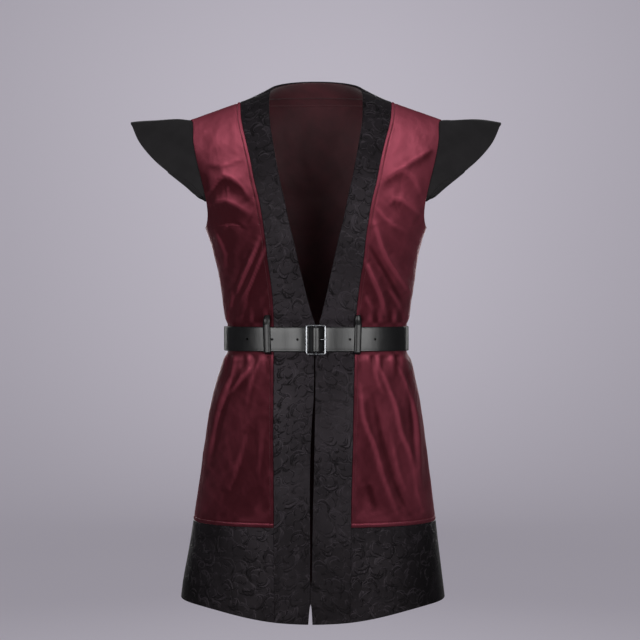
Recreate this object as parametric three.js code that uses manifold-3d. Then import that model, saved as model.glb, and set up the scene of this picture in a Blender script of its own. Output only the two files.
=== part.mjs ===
// A sleeveless medieval vest as it hangs when worn: velvet body panels, brocade front bands and hem bands,
// stiff pointed shoulder wings and a leather belt with a centre-bar buckle.
// Millimetres, +Z up, front towards -Y, the wearer's right towards -X.
// The origin lies midway between the two side-neck points of the shoulder seams.
import * as THREE from "three";
import { mergeVertices } from "three/addons/utils/BufferGeometryUtils.js";
import Module from "manifold-3d";

const wasm = await Module();
wasm.setup();

// ---------------------------------------------------------------- driving sizes
const CLOTH = { velvet: 2.0, brocade: 2.5, facing: 1.0, wing: 3.0, loop: 2.0 };
const SEAM_GAP = 0.4;
const WING_GAP = 1.2;
const LAYER_GAP = 0.4;
const ROUNDNESS = 2.4; // exponent of the oval sections
const ARMPIT_Z = -227;
const HEM_SEAM_Z = -710;
const NECK = { halfWidth: 78, back: 62, rise: 25, roll: 0.8 };
const NECK_BAND = { halfWidth: 126, back: 88, drop: 17, lift: 3 };
const SHOULDER = { halfWidth: 210, drop: 47 };
const FRONT_ROLL = 1.7;
const BACK_ROLL = 3;
const NAPE_FALL = 4; // how late the back curves in towards the neck band
const ARMHOLE_CUT = THREE.MathUtils.degToRad(29);
const BELT = { z: -410.5, halfHeight: 20, thickness: 2.4 };
const BUCKLE = { x: 0, z: -411, width: 33, height: 48.5, depth: 3.2, side: 3.5, end: 3.4, bar: 2.8, off: 10.4 };
const BELT_HOLES = { diameter: 4, x: [-108, -69, -29, 54.5, 94.6] };
const LOOPS = { width: 11.5, rightX: -77, leftX: 67 };
const WING_START = 4; // armhole row where a wing begins

// Steps of the panels' grids.
const STEPS = { armhole: 12, bodice: 7, skirt: 11, hem: 4, velvet: 12, band: 4, yoke: 5, nape: 5, wing: 4 };

// Oval sections of the worn cloth, from the armpit down: half width, depth forwards and back, and sideways shift.
const SECTIONS = [
  { z: -227, halfWidth: 184, front: 118, back: 105, shift: 0 },
  { z: -247, halfWidth: 177, front: 117, back: 103, shift: 0 },
  { z: -280, halfWidth: 168, front: 113, back: 98, shift: 1 },
  { z: -313, halfWidth: 162.5, front: 109, back: 94, shift: 2 },
  { z: -347, halfWidth: 157, front: 105, back: 90, shift: 2 },
  { z: -376, halfWidth: 153.5, front: 102.5, back: 87.5, shift: 2 },
  { z: -388, halfWidth: 149, front: 100, back: 85, shift: 2 },
  { z: -432, halfWidth: 149, front: 100, back: 85, shift: 2 },
  { z: -447, halfWidth: 156.5, front: 104, back: 91, shift: 2 },
  { z: -480, halfWidth: 165, front: 110, back: 100, shift: 1 },
  { z: -513, halfWidth: 172, front: 114, back: 107, shift: 1 },
  { z: -547, halfWidth: 177.5, front: 118, back: 113, shift: 0 },
  { z: -613, halfWidth: 187.5, front: 125, back: 121, shift: -1 },
  { z: -680, halfWidth: 197, front: 132, back: 129, shift: -2 },
  { z: -747, halfWidth: 206, front: 140, back: 137, shift: -3 },
  { z: -813, halfWidth: 216, front: 147, back: 146, shift: -5 },
  { z: -860, halfWidth: 221.5, front: 152, back: 152, shift: -5 },
];

// Half width of the shell above the armpit, by the share of the way up to the shoulder seam.
const SHELL = [
  { share: 0, halfWidth: 184 },
  { share: 0.12, halfWidth: 190 },
  { share: 0.45, halfWidth: 212 },
  { share: 0.63, halfWidth: 220 },
  { share: 0.8, halfWidth: 221 },
  { share: 1, halfWidth: 210 },
];

// Inner edge of the two front bands: half the gap between them, and where its middle lies.
const OPENING_EDGE = [
  { z: 0, halfGap: 78, middle: 0 },
  { z: -16, halfGap: 78, middle: 0 },
  { z: -53, halfGap: 76, middle: 0 },
  { z: -87, halfGap: 70.6, middle: 0 },
  { z: -121, halfGap: 64.5, middle: 0 },
  { z: -154, halfGap: 58, middle: 0 },
  { z: -187, halfGap: 50.5, middle: 0 },
  { z: -219, halfGap: 44, middle: 0 },
  { z: -251, halfGap: 36, middle: 0 },
  { z: -283, halfGap: 29, middle: 0 },
  { z: -315, halfGap: 21.5, middle: 0 },
  { z: -347, halfGap: 13.5, middle: 0 },
  { z: -379, halfGap: 7, middle: -1 },
  { z: -400, halfGap: 3, middle: -3 },
  { z: -430, halfGap: 1, middle: -6 },
  { z: -470, halfGap: 1, middle: -7 },
  { z: -700, halfGap: 1.2, middle: -7 },
  { z: -860, halfGap: 1.6, middle: -7 },
];

// Seam between each front band and its velvet panel: distance from the centre line.
const BAND_SEAM = [
  { z: -17, right: 126, left: 126 },
  { z: -53, right: 122, left: 122 },
  { z: -87, right: 114, left: 113 },
  { z: -121, right: 106, left: 105 },
  { z: -154, right: 99.5, left: 98.5 },
  { z: -187, right: 91.5, left: 90.5 },
  { z: -219, right: 86, left: 85 },
  { z: -251, right: 81.5, left: 80.5 },
  { z: -283, right: 78, left: 77 },
  { z: -315, right: 73.5, left: 72 },
  { z: -347, right: 70, left: 68 },
  { z: -380, right: 68.5, left: 65 },
  { z: -447, right: 68.5, left: 62.5 },
  { z: -560, right: 68.5, left: 60 },
  { z: -680, right: 67.5, left: 57 },
  { z: -860, right: 65.5, left: 55.5 },
];

// Folds of the velvet as seen from the front and from behind, each along a run of two to four points.
// A rise over zero is a ridge and under zero a trough; width is the fold's half width.
const FOLDS = [
  { face: -1, run: [[-174, -165], [-148, -150], [-115, -170]], rise: -4.5, width: 10 },
  { face: -1, run: [[-169, -191], [-144, -187], [-100, -210]], rise: 4.5, width: 10 },
  { face: -1, run: [[-163, -236], [-147, -273], [-150, -300]], rise: 3.5, width: 9 },
  { face: -1, run: [[-88, -244], [-112, -300], [-140, -356]], rise: 4, width: 9 },
  { face: -1, run: [[-92, -290], [-111, -329], [-118, -368]], rise: 3, width: 8 },
  { face: -1, run: [[190, -99], [142, -131], [113, -150]], rise: 4.5, width: 10 },
  { face: -1, run: [[111, -178], [134, -155], [156, -165], [168, -190]], rise: 3.5, width: 9 },
  { face: -1, run: [[134, -199], [171, -210]], rise: 3.5, width: 9 },
  { face: -1, run: [[92, -244], [124, -295], [148, -330]], rise: 4, width: 9 },
  { face: -1, run: [[84, -307], [105, -335], [124, -372]], rise: 4, width: 8 },
  { face: -1, run: [[-132, -446], [-136, -470], [-158, -530], [-177, -618]], rise: 5, width: 11 },
  { face: -1, run: [[-103, -455], [-142, -500], [-155, -530]], rise: 4, width: 10 },
  { face: -1, run: [[-110, -560], [-126, -615], [-142, -660]], rise: 3, width: 13 },
  { face: -1, run: [[106, -446], [124, -491], [140, -557]], rise: 4, width: 9 },
  { face: -1, run: [[78, -490], [90, -563], [108, -634], [137, -690]], rise: 6, width: 11 },
  { face: -1, run: [[140, -448], [163, -494], [169, -589], [176, -684]], rise: 5, width: 11 },
  { face: -1, run: [[84, -640], [96, -690]], rise: -3, width: 12 },
  { face: 1, run: [[-150, -120], [-60, -165], [30, -170]], rise: 3, width: 16 },
  { face: 1, run: [[160, -150], [120, -210], [110, -270]], rise: 3.5, width: 14 },
  { face: 1, run: [[-120, -250], [-96, -320], [-90, -370]], rise: 3.5, width: 12 },
  { face: 1, run: [[60, -290], [72, -330], [84, -372]], rise: 3, width: 11 },
  { face: 1, run: [[-20, -300], [-12, -372]], rise: 2.5, width: 12 },
  { face: 1, run: [[-110, -450], [-126, -540], [-142, -660]], rise: 5.5, width: 14 },
  { face: 1, run: [[-52, -450], [-60, -560], [-54, -670]], rise: 4.5, width: 15 },
  { face: 1, run: [[18, -450], [14, -540], [26, -640]], rise: 4.5, width: 14 },
  { face: 1, run: [[76, -450], [92, -560], [96, -680]], rise: 5, width: 14 },
  { face: 1, run: [[128, -450], [146, -530], [160, -640]], rise: 4.5, width: 13 },
];

// Small gathers above and below the belt: how far they reach, their pitch round the waist and their rise.
const GATHERS = { above: 30, below: 42, pitch: 21, rise: 1.6 };

// Free edge of a wing from its tip to its lower end, for the wearer's left.
const WING_EDGE = [
  { share: 0, x: 309, y: 0, z: -51 },
  { share: 0.25, x: 292, y: 24, z: -86 },
  { share: 0.5, x: 263, y: 40, z: -121 },
  { share: 0.75, x: 231, y: 50, z: -149 },
  { share: 1, x: 187, y: 57, z: -184 },
];

// The strap near the buckle, from the end of its turned-back flap, round the bar and back to the first layer.
// Off is the distance of the strap's middle out from the cloth.
const STRAP_START = [
  { x: -22, off: 1.6 },
  { x: -16, off: 1.6 },
  { x: -11.5, off: 1.7 },
  { x: -8.5, off: 2.4 },
  { x: -5.6, off: 4 },
  { x: -3, off: 5.7 },
];
const STRAP_RETURN = [
  { x: -6.6, off: 8 },
  { x: -9.6, off: 5.4 },
  { x: -13, off: 4.4 },
  { x: -22, off: 4.4 },
  { x: -27, off: 3.9 },
  { x: -33, off: 2.2 },
  { x: -39, off: 1.6 },
];
const STRAP_LOOP_RADIUS = 3.8;
// The free end coming in from the wearer's left, up to the bar.
const STRAP_ARRIVAL = [
  { x: 36, off: 1.6 },
  { x: 27, off: 1.8 },
  { x: 19, off: 2.8 },
  { x: 13.6, off: 4.8 },
  { x: 10.2, off: 7.6 },
];
const STRAP_END_TURN = 108; // degrees round the waist where the free end stops

// ---------------------------------------------------------------- materials
const LOOKS = {
  velvet: { color: 0x571c28, roughness: 0.75, metalness: 0 },
  brocade: { color: 0x222025, roughness: 0.55, metalness: 0 },
  plain: { color: 0x151517, roughness: 0.85, metalness: 0 },
  facing: { color: 0x4a1a20, roughness: 0.7, metalness: 0 },
  leather: { color: 0x1b1c1e, roughness: 0.45, metalness: 0 },
  gunmetal: { color: 0x75787c, roughness: 0.28, metalness: 1 },
};

const vest = new THREE.Group();
vest.name = "vest";

function add(name, look, geometry) {
  const mesh = new THREE.Mesh(geometry, new THREE.MeshStandardMaterial(LOOKS[look]));
  mesh.name = name;
  vest.add(mesh);
}

// ---------------------------------------------------------------- reading the tables
const lerp = THREE.MathUtils.lerp;
const clamp = THREE.MathUtils.clamp;

function slopeAt(rows, key, column, i) {
  const before = rows[Math.max(i - 1, 0)];
  const after = rows[Math.min(i + 1, rows.length - 1)];
  return (after[column] - before[column]) / (after[key] - before[key]);
}

// Smooth reading of one column at a value of the key column.
function read(rows, key, column, at) {
  const rising = rows[rows.length - 1][key] > rows[0][key] ? 1 : -1;
  let i = 0;
  while (i < rows.length - 2 && (at - rows[i + 1][key]) * rising > 0) i += 1;
  const a = rows[i];
  const b = rows[i + 1];
  const span = b[key] - a[key];
  const s = clamp((at - a[key]) / span, 0, 1);
  const flat = a[column] === b[column];
  const ma = flat ? 0 : slopeAt(rows, key, column, i) * span;
  const mb = flat ? 0 : slopeAt(rows, key, column, i + 1) * span;
  const s2 = s * s;
  const s3 = s2 * s;
  return (
    (2 * s3 - 3 * s2 + 1) * a[column] +
    (s3 - 2 * s2 + s) * ma +
    (3 * s2 - 2 * s3) * b[column] +
    (s3 - s2) * mb
  );
}

// ---------------------------------------------------------------- the worn shell
const power = (value, exponent) => Math.sign(value) * Math.pow(Math.abs(value), exponent);
const shareUp = (v) => clamp((v - ARMPIT_Z) / -ARMPIT_Z, 0, 1);
const shoulderZ = (x) => ((NECK.halfWidth - Math.abs(x)) * SHOULDER.drop) / (SHOULDER.halfWidth - NECK.halfWidth);

function halfWidthAt(v) {
  return v > ARMPIT_Z ? read(SHELL, "share", "halfWidth", shareUp(v)) : read(SECTIONS, "z", "halfWidth", v);
}

// Angle round the section, signed like x, at which the section's outline reaches x.
function turnOf(x, v) {
  const reach = clamp(Math.abs(x) / halfWidthAt(v), 0, 1);
  return Math.sign(x) * Math.asin(Math.pow(reach, ROUNDNESS / 2));
}

// Top edge of the back panel: the shoulder seam, then the outer seam of the back neck band.
function backTop(x) {
  const inside = clamp(Math.abs(x) / NECK_BAND.halfWidth, 0, 1);
  const depth = Math.sqrt(1 - inside * inside);
  return {
    y: NECK_BAND.back * depth,
    z: Math.abs(x) > NECK_BAND.halfWidth ? shoulderZ(x) : -NECK_BAND.drop + NECK_BAND.lift * depth,
  };
}

// A point of the shell. Face is -1 in front and 1 behind, turn is the angle from the centre line,
// and v is the height of the row where it crosses the side-neck line.
function shell(face, turn, v) {
  const share = shareUp(v);
  const halfWidth = halfWidthAt(v);
  const x = halfWidth * power(Math.sin(turn), 2 / ROUNDNESS);
  const across = Math.pow(Math.max(Math.cos(turn), 0), 2 / ROUNDNESS);
  const shift = read(SECTIONS, "z", "shift", v);
  if (share <= 0) {
    const depth = read(SECTIONS, "z", face < 0 ? "front" : "back", v);
    return new THREE.Vector3(x + shift, face * depth * across, v);
  }
  if (face < 0) {
    const depth = SECTIONS[0].front * Math.pow(Math.max(1 - Math.pow(share, FRONT_ROLL), 0), 1 / FRONT_ROLL);
    return new THREE.Vector3(x + shift, -depth * across, lerp(ARMPIT_Z, shoulderZ(x), share));
  }
  const top = backTop(SHOULDER.halfWidth * power(Math.sin(turn), 2 / ROUNDNESS));
  const rolled = Math.pow(Math.max(1 - Math.pow(share, BACK_ROLL), 0), 1 / BACK_ROLL);
  const straight = 1 - Math.pow(share, NAPE_FALL);
  const fade = lerp(rolled, straight, Math.pow(top.y / NECK_BAND.back, 0.6));
  const y = lerp(top.y, SECTIONS[0].back * across, fade);
  return new THREE.Vector3(x + shift, y, lerp(ARMPIT_Z, top.z, share));
}

const SHOULDER_NORMAL = new THREE.Vector3(SHOULDER.drop, 0, SHOULDER.halfWidth - NECK.halfWidth).normalize();

function shellNormal(face, turn, v) {
  if (v > -0.01 && (face < 0 || Math.abs(shell(1, turn, 0).x) >= NECK_BAND.halfWidth - 0.5)) {
    return SHOULDER_NORMAL.clone().multiply(new THREE.Vector3(Math.sign(turn) || 1, 1, 1));
  }
  const step = 0.004;
  const limit = Math.PI / 2;
  const a = shell(face, clamp(turn + step, -limit, limit), v);
  const b = shell(face, clamp(turn - step, -limit, limit), v);
  const c = shell(face, turn, Math.min(v + 1, 0));
  const d = shell(face, turn, v - 1);
  const normal = a.sub(b).cross(c.sub(d)).normalize();
  return face < 0 ? normal : normal.negate();
}

// ---------------------------------------------------------------- folds
// Distance from a point to a fold's run, and how far along the run the nearest place lies.
function nearRun(run, x, z) {
  let best = { distance: Infinity, along: 0 };
  for (let i = 0; i < run.length - 1; i += 1) {
    const [ax, az] = run[i];
    const [bx, bz] = run[i + 1];
    const length2 = (bx - ax) ** 2 + (bz - az) ** 2;
    const s = clamp(((x - ax) * (bx - ax) + (z - az) * (bz - az)) / length2, 0, 1);
    const distance = Math.hypot(x - lerp(ax, bx, s), z - lerp(az, bz, s));
    if (distance < best.distance) best = { distance, along: (i + s) / (run.length - 1) };
  }
  return best;
}

function ease(value) {
  const s = clamp(value, 0, 1);
  return s * s * (3 - 2 * s);
}

// How far the cloth stands out from the shell at a place.
function relief(face, x, z) {
  let out = 0;
  for (const fold of FOLDS) {
    if (fold.face !== face) continue;
    const near = nearRun(fold.run, x, z);
    const taper = 0.45 + 0.55 * Math.sin(Math.PI * clamp(near.along, 0.08, 0.92));
    out += fold.rise * taper * Math.exp(-((near.distance / fold.width) ** 2));
  }
  const beltTop = SECTIONS[6].z;
  const beltFoot = SECTIONS[7].z;
  const above = (z - beltTop) / GATHERS.above;
  const below = (beltFoot - z) / GATHERS.below;
  const reach = above > 0 ? above : below;
  if (reach > 0 && reach < 1) {
    const wave = Math.cos((2 * Math.PI * x) / GATHERS.pitch + face + (above > 0 ? 0.6 : 2.2));
    out += GATHERS.rise * wave * Math.sin(Math.PI * Math.sqrt(reach)) * ease((Math.abs(x) - 66) / 10);
  }
  const freeOfBelt = Math.max(ease((z - beltTop) / 10), ease((beltFoot - z) / 10));
  const freeOfHem = ease((z - HEM_SEAM_Z + 4) / 24);
  const freeOfShoulder = ease((-40 - z) / 40);
  return out * freeOfBelt * freeOfHem * freeOfShoulder;
}

// Turn at which folds have died away: the side seam, easing over below the armpit to the armhole's edge.
function calmTurn(v) {
  if (v > ARMPIT_Z) return edgeTurn(v);
  return Math.PI / 2 - 0.45 * ARMHOLE_CUT * ease((v - ARMPIT_Z + 40) / 40);
}

// Folds die away at the side seams, armholes and band seams.
function clothAt(face, turn, v, off = 0) {
  const point = shell(face, turn, v);
  const normal = shellNormal(face, turn, v);
  const toEdge = ease((calmTurn(v) - Math.abs(turn)) / 0.16);
  const toBand = face < 0 ? ease((Math.abs(turn) - Math.abs(seamTurn(Math.sign(turn) || 1, v))) / 0.07) : 1;
  point.addScaledVector(normal, relief(face, point.x, point.z) * toEdge * toBand + off);
  return { point, normal };
}

// ---------------------------------------------------------------- lines on the shell
// Turn of the side seam, or above the armpit of the armhole.
function edgeTurn(v) {
  if (v <= ARMPIT_Z) return Math.PI / 2;
  const along = Math.acos(clamp(1 - 2 * shareUp(v), -1, 1));
  return Math.PI / 2 - ARMHOLE_CUT * Math.pow(Math.sin(along), 0.6);
}

// Turn on the front where the distance from the centre line follows a rule of the height.
function turnWhere(rule, v) {
  let turn = turnOf(rule(v), v);
  for (let i = 0; i < 8; i += 1) {
    const z = shell(-1, turn, v).z;
    turn = turnOf(rule(z), v);
  }
  return turn;
}

const shiftAt = (z) => read(SECTIONS, "z", "shift", z);

function seamTurn(side, v, inset = 0) {
  const column = side < 0 ? "right" : "left";
  return turnWhere((z) => side * (read(BAND_SEAM, "z", column, z) + inset) - shiftAt(z), v);
}

function openingTurn(side, v) {
  return turnWhere((z) => {
    const halfGap = read(OPENING_EDGE, "z", "halfGap", z);
    return side * halfGap + read(OPENING_EDGE, "z", "middle", z) - shiftAt(z);
  }, v);
}

function hemZ(face, turn) {
  const drop = face < 0 ? 23 * Math.pow(Math.cos(turn), 5) : 10 * Math.pow(Math.cos(turn), 2);
  return -838 - drop;
}

// ---------------------------------------------------------------- rows shared by neighbouring panels
const range = (steps) => Array.from({ length: steps + 1 }, (_, i) => i / steps);
const armholeRows = range(STEPS.armhole).map((s) => ARMPIT_Z * (1 - (1 - Math.cos(Math.PI * s)) / 2));
const bodiceRows = range(STEPS.bodice).map((s) => lerp(ARMPIT_Z, SECTIONS[5].z, s));
const waistRows = [SECTIONS[5].z, -382, SECTIONS[6].z, BELT.z, SECTIONS[7].z, -439, SECTIONS[8].z];
const skirtRows = range(STEPS.skirt).map((s) => lerp(SECTIONS[8].z, HEM_SEAM_Z, Math.pow(s, 1.1)));
const upperRows = [
  ...armholeRows.slice().reverse(),
  ...bodiceRows.slice(1),
  ...waistRows.slice(1),
  ...skirtRows.slice(1),
];

// ---------------------------------------------------------------- cloth walls
// Closes a grid of outer points into a wall, its inner face set back along each point's normal
// by the wall's thickness, or by the point's own depth where it has one.
function wall(grid, thickness) {
  const rows = grid.length;
  const columns = grid[0].length;
  const count = rows * columns;
  const positions = [];
  for (const row of grid) for (const { point } of row) positions.push(point.x, point.y, point.z);
  for (const row of grid) {
    for (const { point, normal, depth } of row) {
      const inner = point.clone().addScaledVector(normal, -(depth ?? thickness));
      positions.push(inner.x, inner.y, inner.z);
    }
  }
  const index = [];
  const quad = (a, b, c, d) => index.push(a, b, c, a, c, d);
  for (let i = 0; i < rows - 1; i += 1) {
    for (let j = 0; j < columns - 1; j += 1) {
      const a = i * columns + j;
      quad(a, a + columns, a + columns + 1, a + 1);
      quad(count + a, count + a + 1, count + a + columns + 1, count + a + columns);
    }
  }
  for (let j = 0; j < columns - 1; j += 1) {
    const foot = (rows - 1) * columns + j;
    quad(j, j + 1, count + j + 1, count + j);
    quad(foot + 1, foot, count + foot, count + foot + 1);
  }
  for (let i = 0; i < rows - 1; i += 1) {
    const left = i * columns;
    const right = left + columns - 1;
    quad(left + columns, left, count + left, count + left + columns);
    quad(right, right + columns, count + right + columns, count + right);
  }
  return facingOut(positions, index);
}

function facingOut(positions, index) {
  let volume = 0;
  const corner = (i) => new THREE.Vector3(positions[3 * i], positions[3 * i + 1], positions[3 * i + 2]);
  for (let i = 0; i < index.length; i += 3) {
    volume += corner(index[i]).dot(corner(index[i + 1]).cross(corner(index[i + 2])));
  }
  const turned = [];
  for (let i = 0; i < index.length; i += 3) turned.push(index[i], index[i + 2], index[i + 1]);
  const geometry = new THREE.BufferGeometry();
  geometry.setAttribute("position", new THREE.Float32BufferAttribute(positions, 3));
  geometry.setIndex(volume < 0 ? turned : index);
  return geometry;
}

// Moves a point off the seam planes at y = 0, where front and back meet.
function clearOfSideSeam(face, corner) {
  if (Math.abs(corner.point.y) < SEAM_GAP / 2) corner.point.y = (face * SEAM_GAP) / 2;
  return corner;
}

// ---------------------------------------------------------------- front panels, bands and hem
for (const side of [-1, 1]) {
  const name = side < 0 ? "right" : "left";

  const velvetRow = (v) =>
    range(STEPS.velvet).map((s) => {
      const turn = lerp(seamTurn(side, v, SEAM_GAP / 2), side * edgeTurn(v), s);
      return clearOfSideSeam(-1, clothAt(-1, turn, v));
    });
  const lastVelvetRow = HEM_SEAM_Z + SEAM_GAP / 2;
  const velvetRows = [...upperRows.slice(0, -1), lastVelvetRow];
  add(`front_velvet_${name}`, "velvet", wall(velvetRows.map(velvetRow), CLOTH.velvet));

  const bandRow = (place) =>
    range(STEPS.band).map((s) => {
      const inner = openingTurn(side, place);
      const outer = seamTurn(side, place, -SEAM_GAP / 2);
      return clearOfSideSeam(-1, clothAt(-1, lerp(inner, outer, s), place));
    });
  const bandHem = range(STEPS.hem)
    .slice(1)
    .map((k) =>
      range(STEPS.band).map((s) => {
        const turnAt = (v) => lerp(openingTurn(side, v), seamTurn(side, v, -SEAM_GAP / 2), s);
        const v = lerp(HEM_SEAM_Z, hemZ(-1, turnAt(-850)), k);
        return clothAt(-1, turnAt(v), v);
      }),
    );
  add(`front_band_${name}`, "brocade", wall([...upperRows.map(bandRow), ...bandHem], CLOTH.brocade));

  const hemRows = range(STEPS.hem).map((k) =>
    range(STEPS.velvet).map((s) => {
      const turnAt = (v) => lerp(seamTurn(side, v, SEAM_GAP / 2), (side * Math.PI) / 2, s);
      const v = lerp(HEM_SEAM_Z - SEAM_GAP / 2, hemZ(-1, turnAt(-850)), k);
      return clearOfSideSeam(-1, clothAt(-1, turnAt(v), v));
    }),
  );
  add(`hem_front_${name}`, "brocade", wall(hemRows, CLOTH.brocade));
}

// ---------------------------------------------------------------- back panel, hem and neck band
// The back panel's columns meet its top edge at even steps, first of the shoulder seam, then of the neck band.
const bandCornerTurn = Math.asin(Math.pow(NECK_BAND.halfWidth / SHOULDER.halfWidth, ROUNDNESS / 2));
const napeTurn = (angle) =>
  Math.asin(Math.pow((NECK_BAND.halfWidth * Math.cos(angle)) / SHOULDER.halfWidth, ROUNDNESS / 2));
const halfShares = [
  ...range(STEPS.yoke).map((s) => lerp(1, bandCornerTurn / (Math.PI / 2), s)),
  ...range(STEPS.nape)
    .slice(1)
    .map((s) => (s === 1 ? 0 : napeTurn((s * Math.PI) / 2) / (Math.PI / 2))),
];
const backShares = [
  ...halfShares.map((s) => -s),
  ...halfShares
    .slice(0, -1)
    .reverse(),
];
const backRow = (v) => backShares.map((share) => clearOfSideSeam(1, clothAt(1, share * edgeTurn(v), v)));
const backRows = [...upperRows.slice(0, -1), HEM_SEAM_Z + SEAM_GAP / 2].map(backRow);
add("back_velvet", "velvet", wall(backRows, CLOTH.velvet));

const backHemRows = range(STEPS.hem).map((k) =>
  backShares.map((share) => {
    const turn = (share * Math.PI) / 2;
    const v = lerp(HEM_SEAM_Z - SEAM_GAP / 2, hemZ(1, turn), k);
    return clearOfSideSeam(1, clothAt(1, turn, v));
  }),
);
add("hem_back", "brocade", wall(backHemRows, CLOTH.brocade));

// A point of the back neck band: angle 0 at one shoulder seam to 180 degrees at the other, up is 0 at its outer
// seam and 1 at the neckline.
function napePoint(angle, up) {
  const depth = Math.sin(angle);
  const side = Math.cos(angle);
  const outer = new THREE.Vector3(
    NECK_BAND.halfWidth * side,
    NECK_BAND.back * depth,
    -NECK_BAND.drop + NECK_BAND.lift * depth,
  );
  const inner = new THREE.Vector3(NECK.halfWidth * side, NECK.back * depth, NECK.rise * Math.pow(depth, NECK.roll));
  const swell = 4 * up * (1 - up) * 2.5 * depth;
  const point = outer.lerp(inner, up);
  return point.add(new THREE.Vector3(side * 0.3, depth * 0.8, 0.5).normalize().multiplyScalar(swell));
}

function napeNormal(angle, up) {
  if (angle < 0.001 || angle > Math.PI - 0.001) {
    return SHOULDER_NORMAL.clone().multiply(new THREE.Vector3(Math.cos(angle) > 0 ? 1 : -1, 1, 1));
  }
  const a = napePoint(Math.min(angle + 0.01, Math.PI), up);
  const b = napePoint(Math.max(angle - 0.01, 0), up);
  const c = napePoint(angle, Math.min(up + 0.02, 1));
  const d = napePoint(angle, Math.max(up - 0.02, 0));
  return a.sub(b).cross(c.sub(d)).normalize();
}

const bandWidth = Math.hypot(NECK_BAND.back - NECK.back, NECK.rise + NECK_BAND.drop);

// At its outer seam the band's edge is square to the back panel, so the two walls stay apart.
const nape = (shares, off, thickness) => {
  const rows = shares.map((k) => {
    const up = lerp((3 * SEAM_GAP) / bandWidth, 1, k);
    return range(2 * STEPS.nape).map((s) => {
      const angle = s * Math.PI;
      const point = napePoint(angle, up);
      const side = Math.cos(angle);
      const edgeNormal = shellNormal(1, Math.sign(side) * napeTurn(angle > Math.PI / 2 ? Math.PI - angle : angle), 0);
      const normal = napeNormal(angle, up).lerp(edgeNormal, k === 0 ? 1 : 0).normalize();
      point.addScaledVector(normal, -off);
      if (Math.sin(angle) < 0.01) point.y = SEAM_GAP;
      return { point, normal, depth: k === 0 ? thickness * 0.4 : thickness };
    });
  });
  return wall(rows, thickness);
};
add("back_neck_band", "brocade", nape(range(3), 0, CLOTH.brocade));
add("back_neck_facing", "facing", nape(range(3).slice(1), CLOTH.brocade + LAYER_GAP, CLOTH.facing));

// ---------------------------------------------------------------- shoulder wings
for (const side of [-1, 1]) {
  const name = side < 0 ? "right" : "left";
  const rows = [];
  const halves = [
    { face: -1, marks: armholeRows.slice(WING_START) },
    { face: 1, marks: armholeRows.slice(WING_START, -1).reverse() },
  ];
  for (const { face, marks } of halves) {
    for (const v of marks) {
      const root = clothAt(face, side * edgeTurn(v), v);
      const along = Math.acos(clamp(1 - 2 * shareUp(v), -1, 1));
      const start = (WING_START * Math.PI) / STEPS.armhole;
      const share = clamp((Math.PI - along) / (Math.PI - start), 0, 1);
      const free = new THREE.Vector3(
        side * read(WING_EDGE, "share", "x", share),
        face * read(WING_EDGE, "share", "y", share),
        read(WING_EDGE, "share", "z", share),
      );
      const reach = free.clone().sub(root.point);
      reach.addScaledVector(root.normal, -reach.dot(root.normal)).normalize();
      const base = root.point.clone().addScaledVector(reach, WING_GAP);
      rows.push(
        range(STEPS.wing).map((s) => {
          const point = base.clone().lerp(free, s);
          point.addScaledVector(root.normal, 4 * s * (1 - s) * 3);
          return { point, normal: root.normal.clone() };
        }),
      );
    }
  }
  squareNormals(rows);
  add(`wing_${name}`, "plain", wall(rows, CLOTH.wing));
}

// Gives a grid the normals of its own surface, but keeps those along its first column.
function squareNormals(rows) {
  for (let i = 0; i < rows.length; i += 1) {
    for (let j = 1; j < rows[i].length; j += 1) {
      const a = rows[Math.min(i + 1, rows.length - 1)][j].point;
      const b = rows[Math.max(i - 1, 0)][j].point;
      const c = rows[i][Math.min(j + 1, rows[i].length - 1)].point;
      const d = rows[i][j - 1].point;
      const normal = a.clone().sub(b).cross(c.clone().sub(d)).normalize();
      if (normal.z < 0) normal.negate();
      rows[i][j].normal = normal;
    }
  }
}

// ---------------------------------------------------------------- belt
// A point of the waist's outline moved out by a distance: turn 0 in front, growing towards the wearer's right.
function waistPoint(turnDegrees, off) {
  const waist = SECTIONS[6];
  const at = (degrees) => {
    const turn = THREE.MathUtils.degToRad(degrees);
    const c = Math.cos(turn);
    const depth = c > 0 ? waist.front : waist.back;
    return new THREE.Vector2(
      -waist.halfWidth * power(Math.sin(turn), 2 / ROUNDNESS) + waist.shift,
      -depth * power(c, 2 / ROUNDNESS),
    );
  };
  const along = at(turnDegrees + 0.5).sub(at(turnDegrees - 0.5)).normalize();
  const out = new THREE.Vector2(along.y, -along.x);
  const point = at(turnDegrees);
  if (out.dot(point) < 0) out.negate();
  return point.addScaledVector(out, off);
}

const frontY = (x) => shell(-1, turnOf(x - SECTIONS[6].shift, BELT.z), BELT.z).y;
const inFront = ({ x, off }) => new THREE.Vector2(x, frontY(x) - off);
const turnAtX = (x) => THREE.MathUtils.radToDeg(turnOf(SECTIONS[6].shift - x, BELT.z));

// Points round the bar from one angle to another, angles from the wearer's left towards the front.
function roundBar(from, to, radius, steps) {
  return range(steps).map((s) => {
    const angle = THREE.MathUtils.degToRad(lerp(from, to, s));
    return { x: BUCKLE.x + radius * Math.cos(angle), off: BUCKLE.off + radius * Math.sin(angle) };
  });
}

function smooth(points, spacing) {
  const curve = new THREE.SplineCurve(points);
  return curve.getSpacedPoints(Math.max(2, Math.round(curve.getLength() / spacing)));
}

function offsetLine(points, distance) {
  return points.map((point, i) => {
    const a = points[Math.max(i - 1, 0)];
    const b = points[Math.min(i + 1, points.length - 1)];
    const along = b.clone().sub(a).normalize();
    return new THREE.Vector2(point.x + along.y * distance, point.y - along.x * distance);
  });
}

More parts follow.
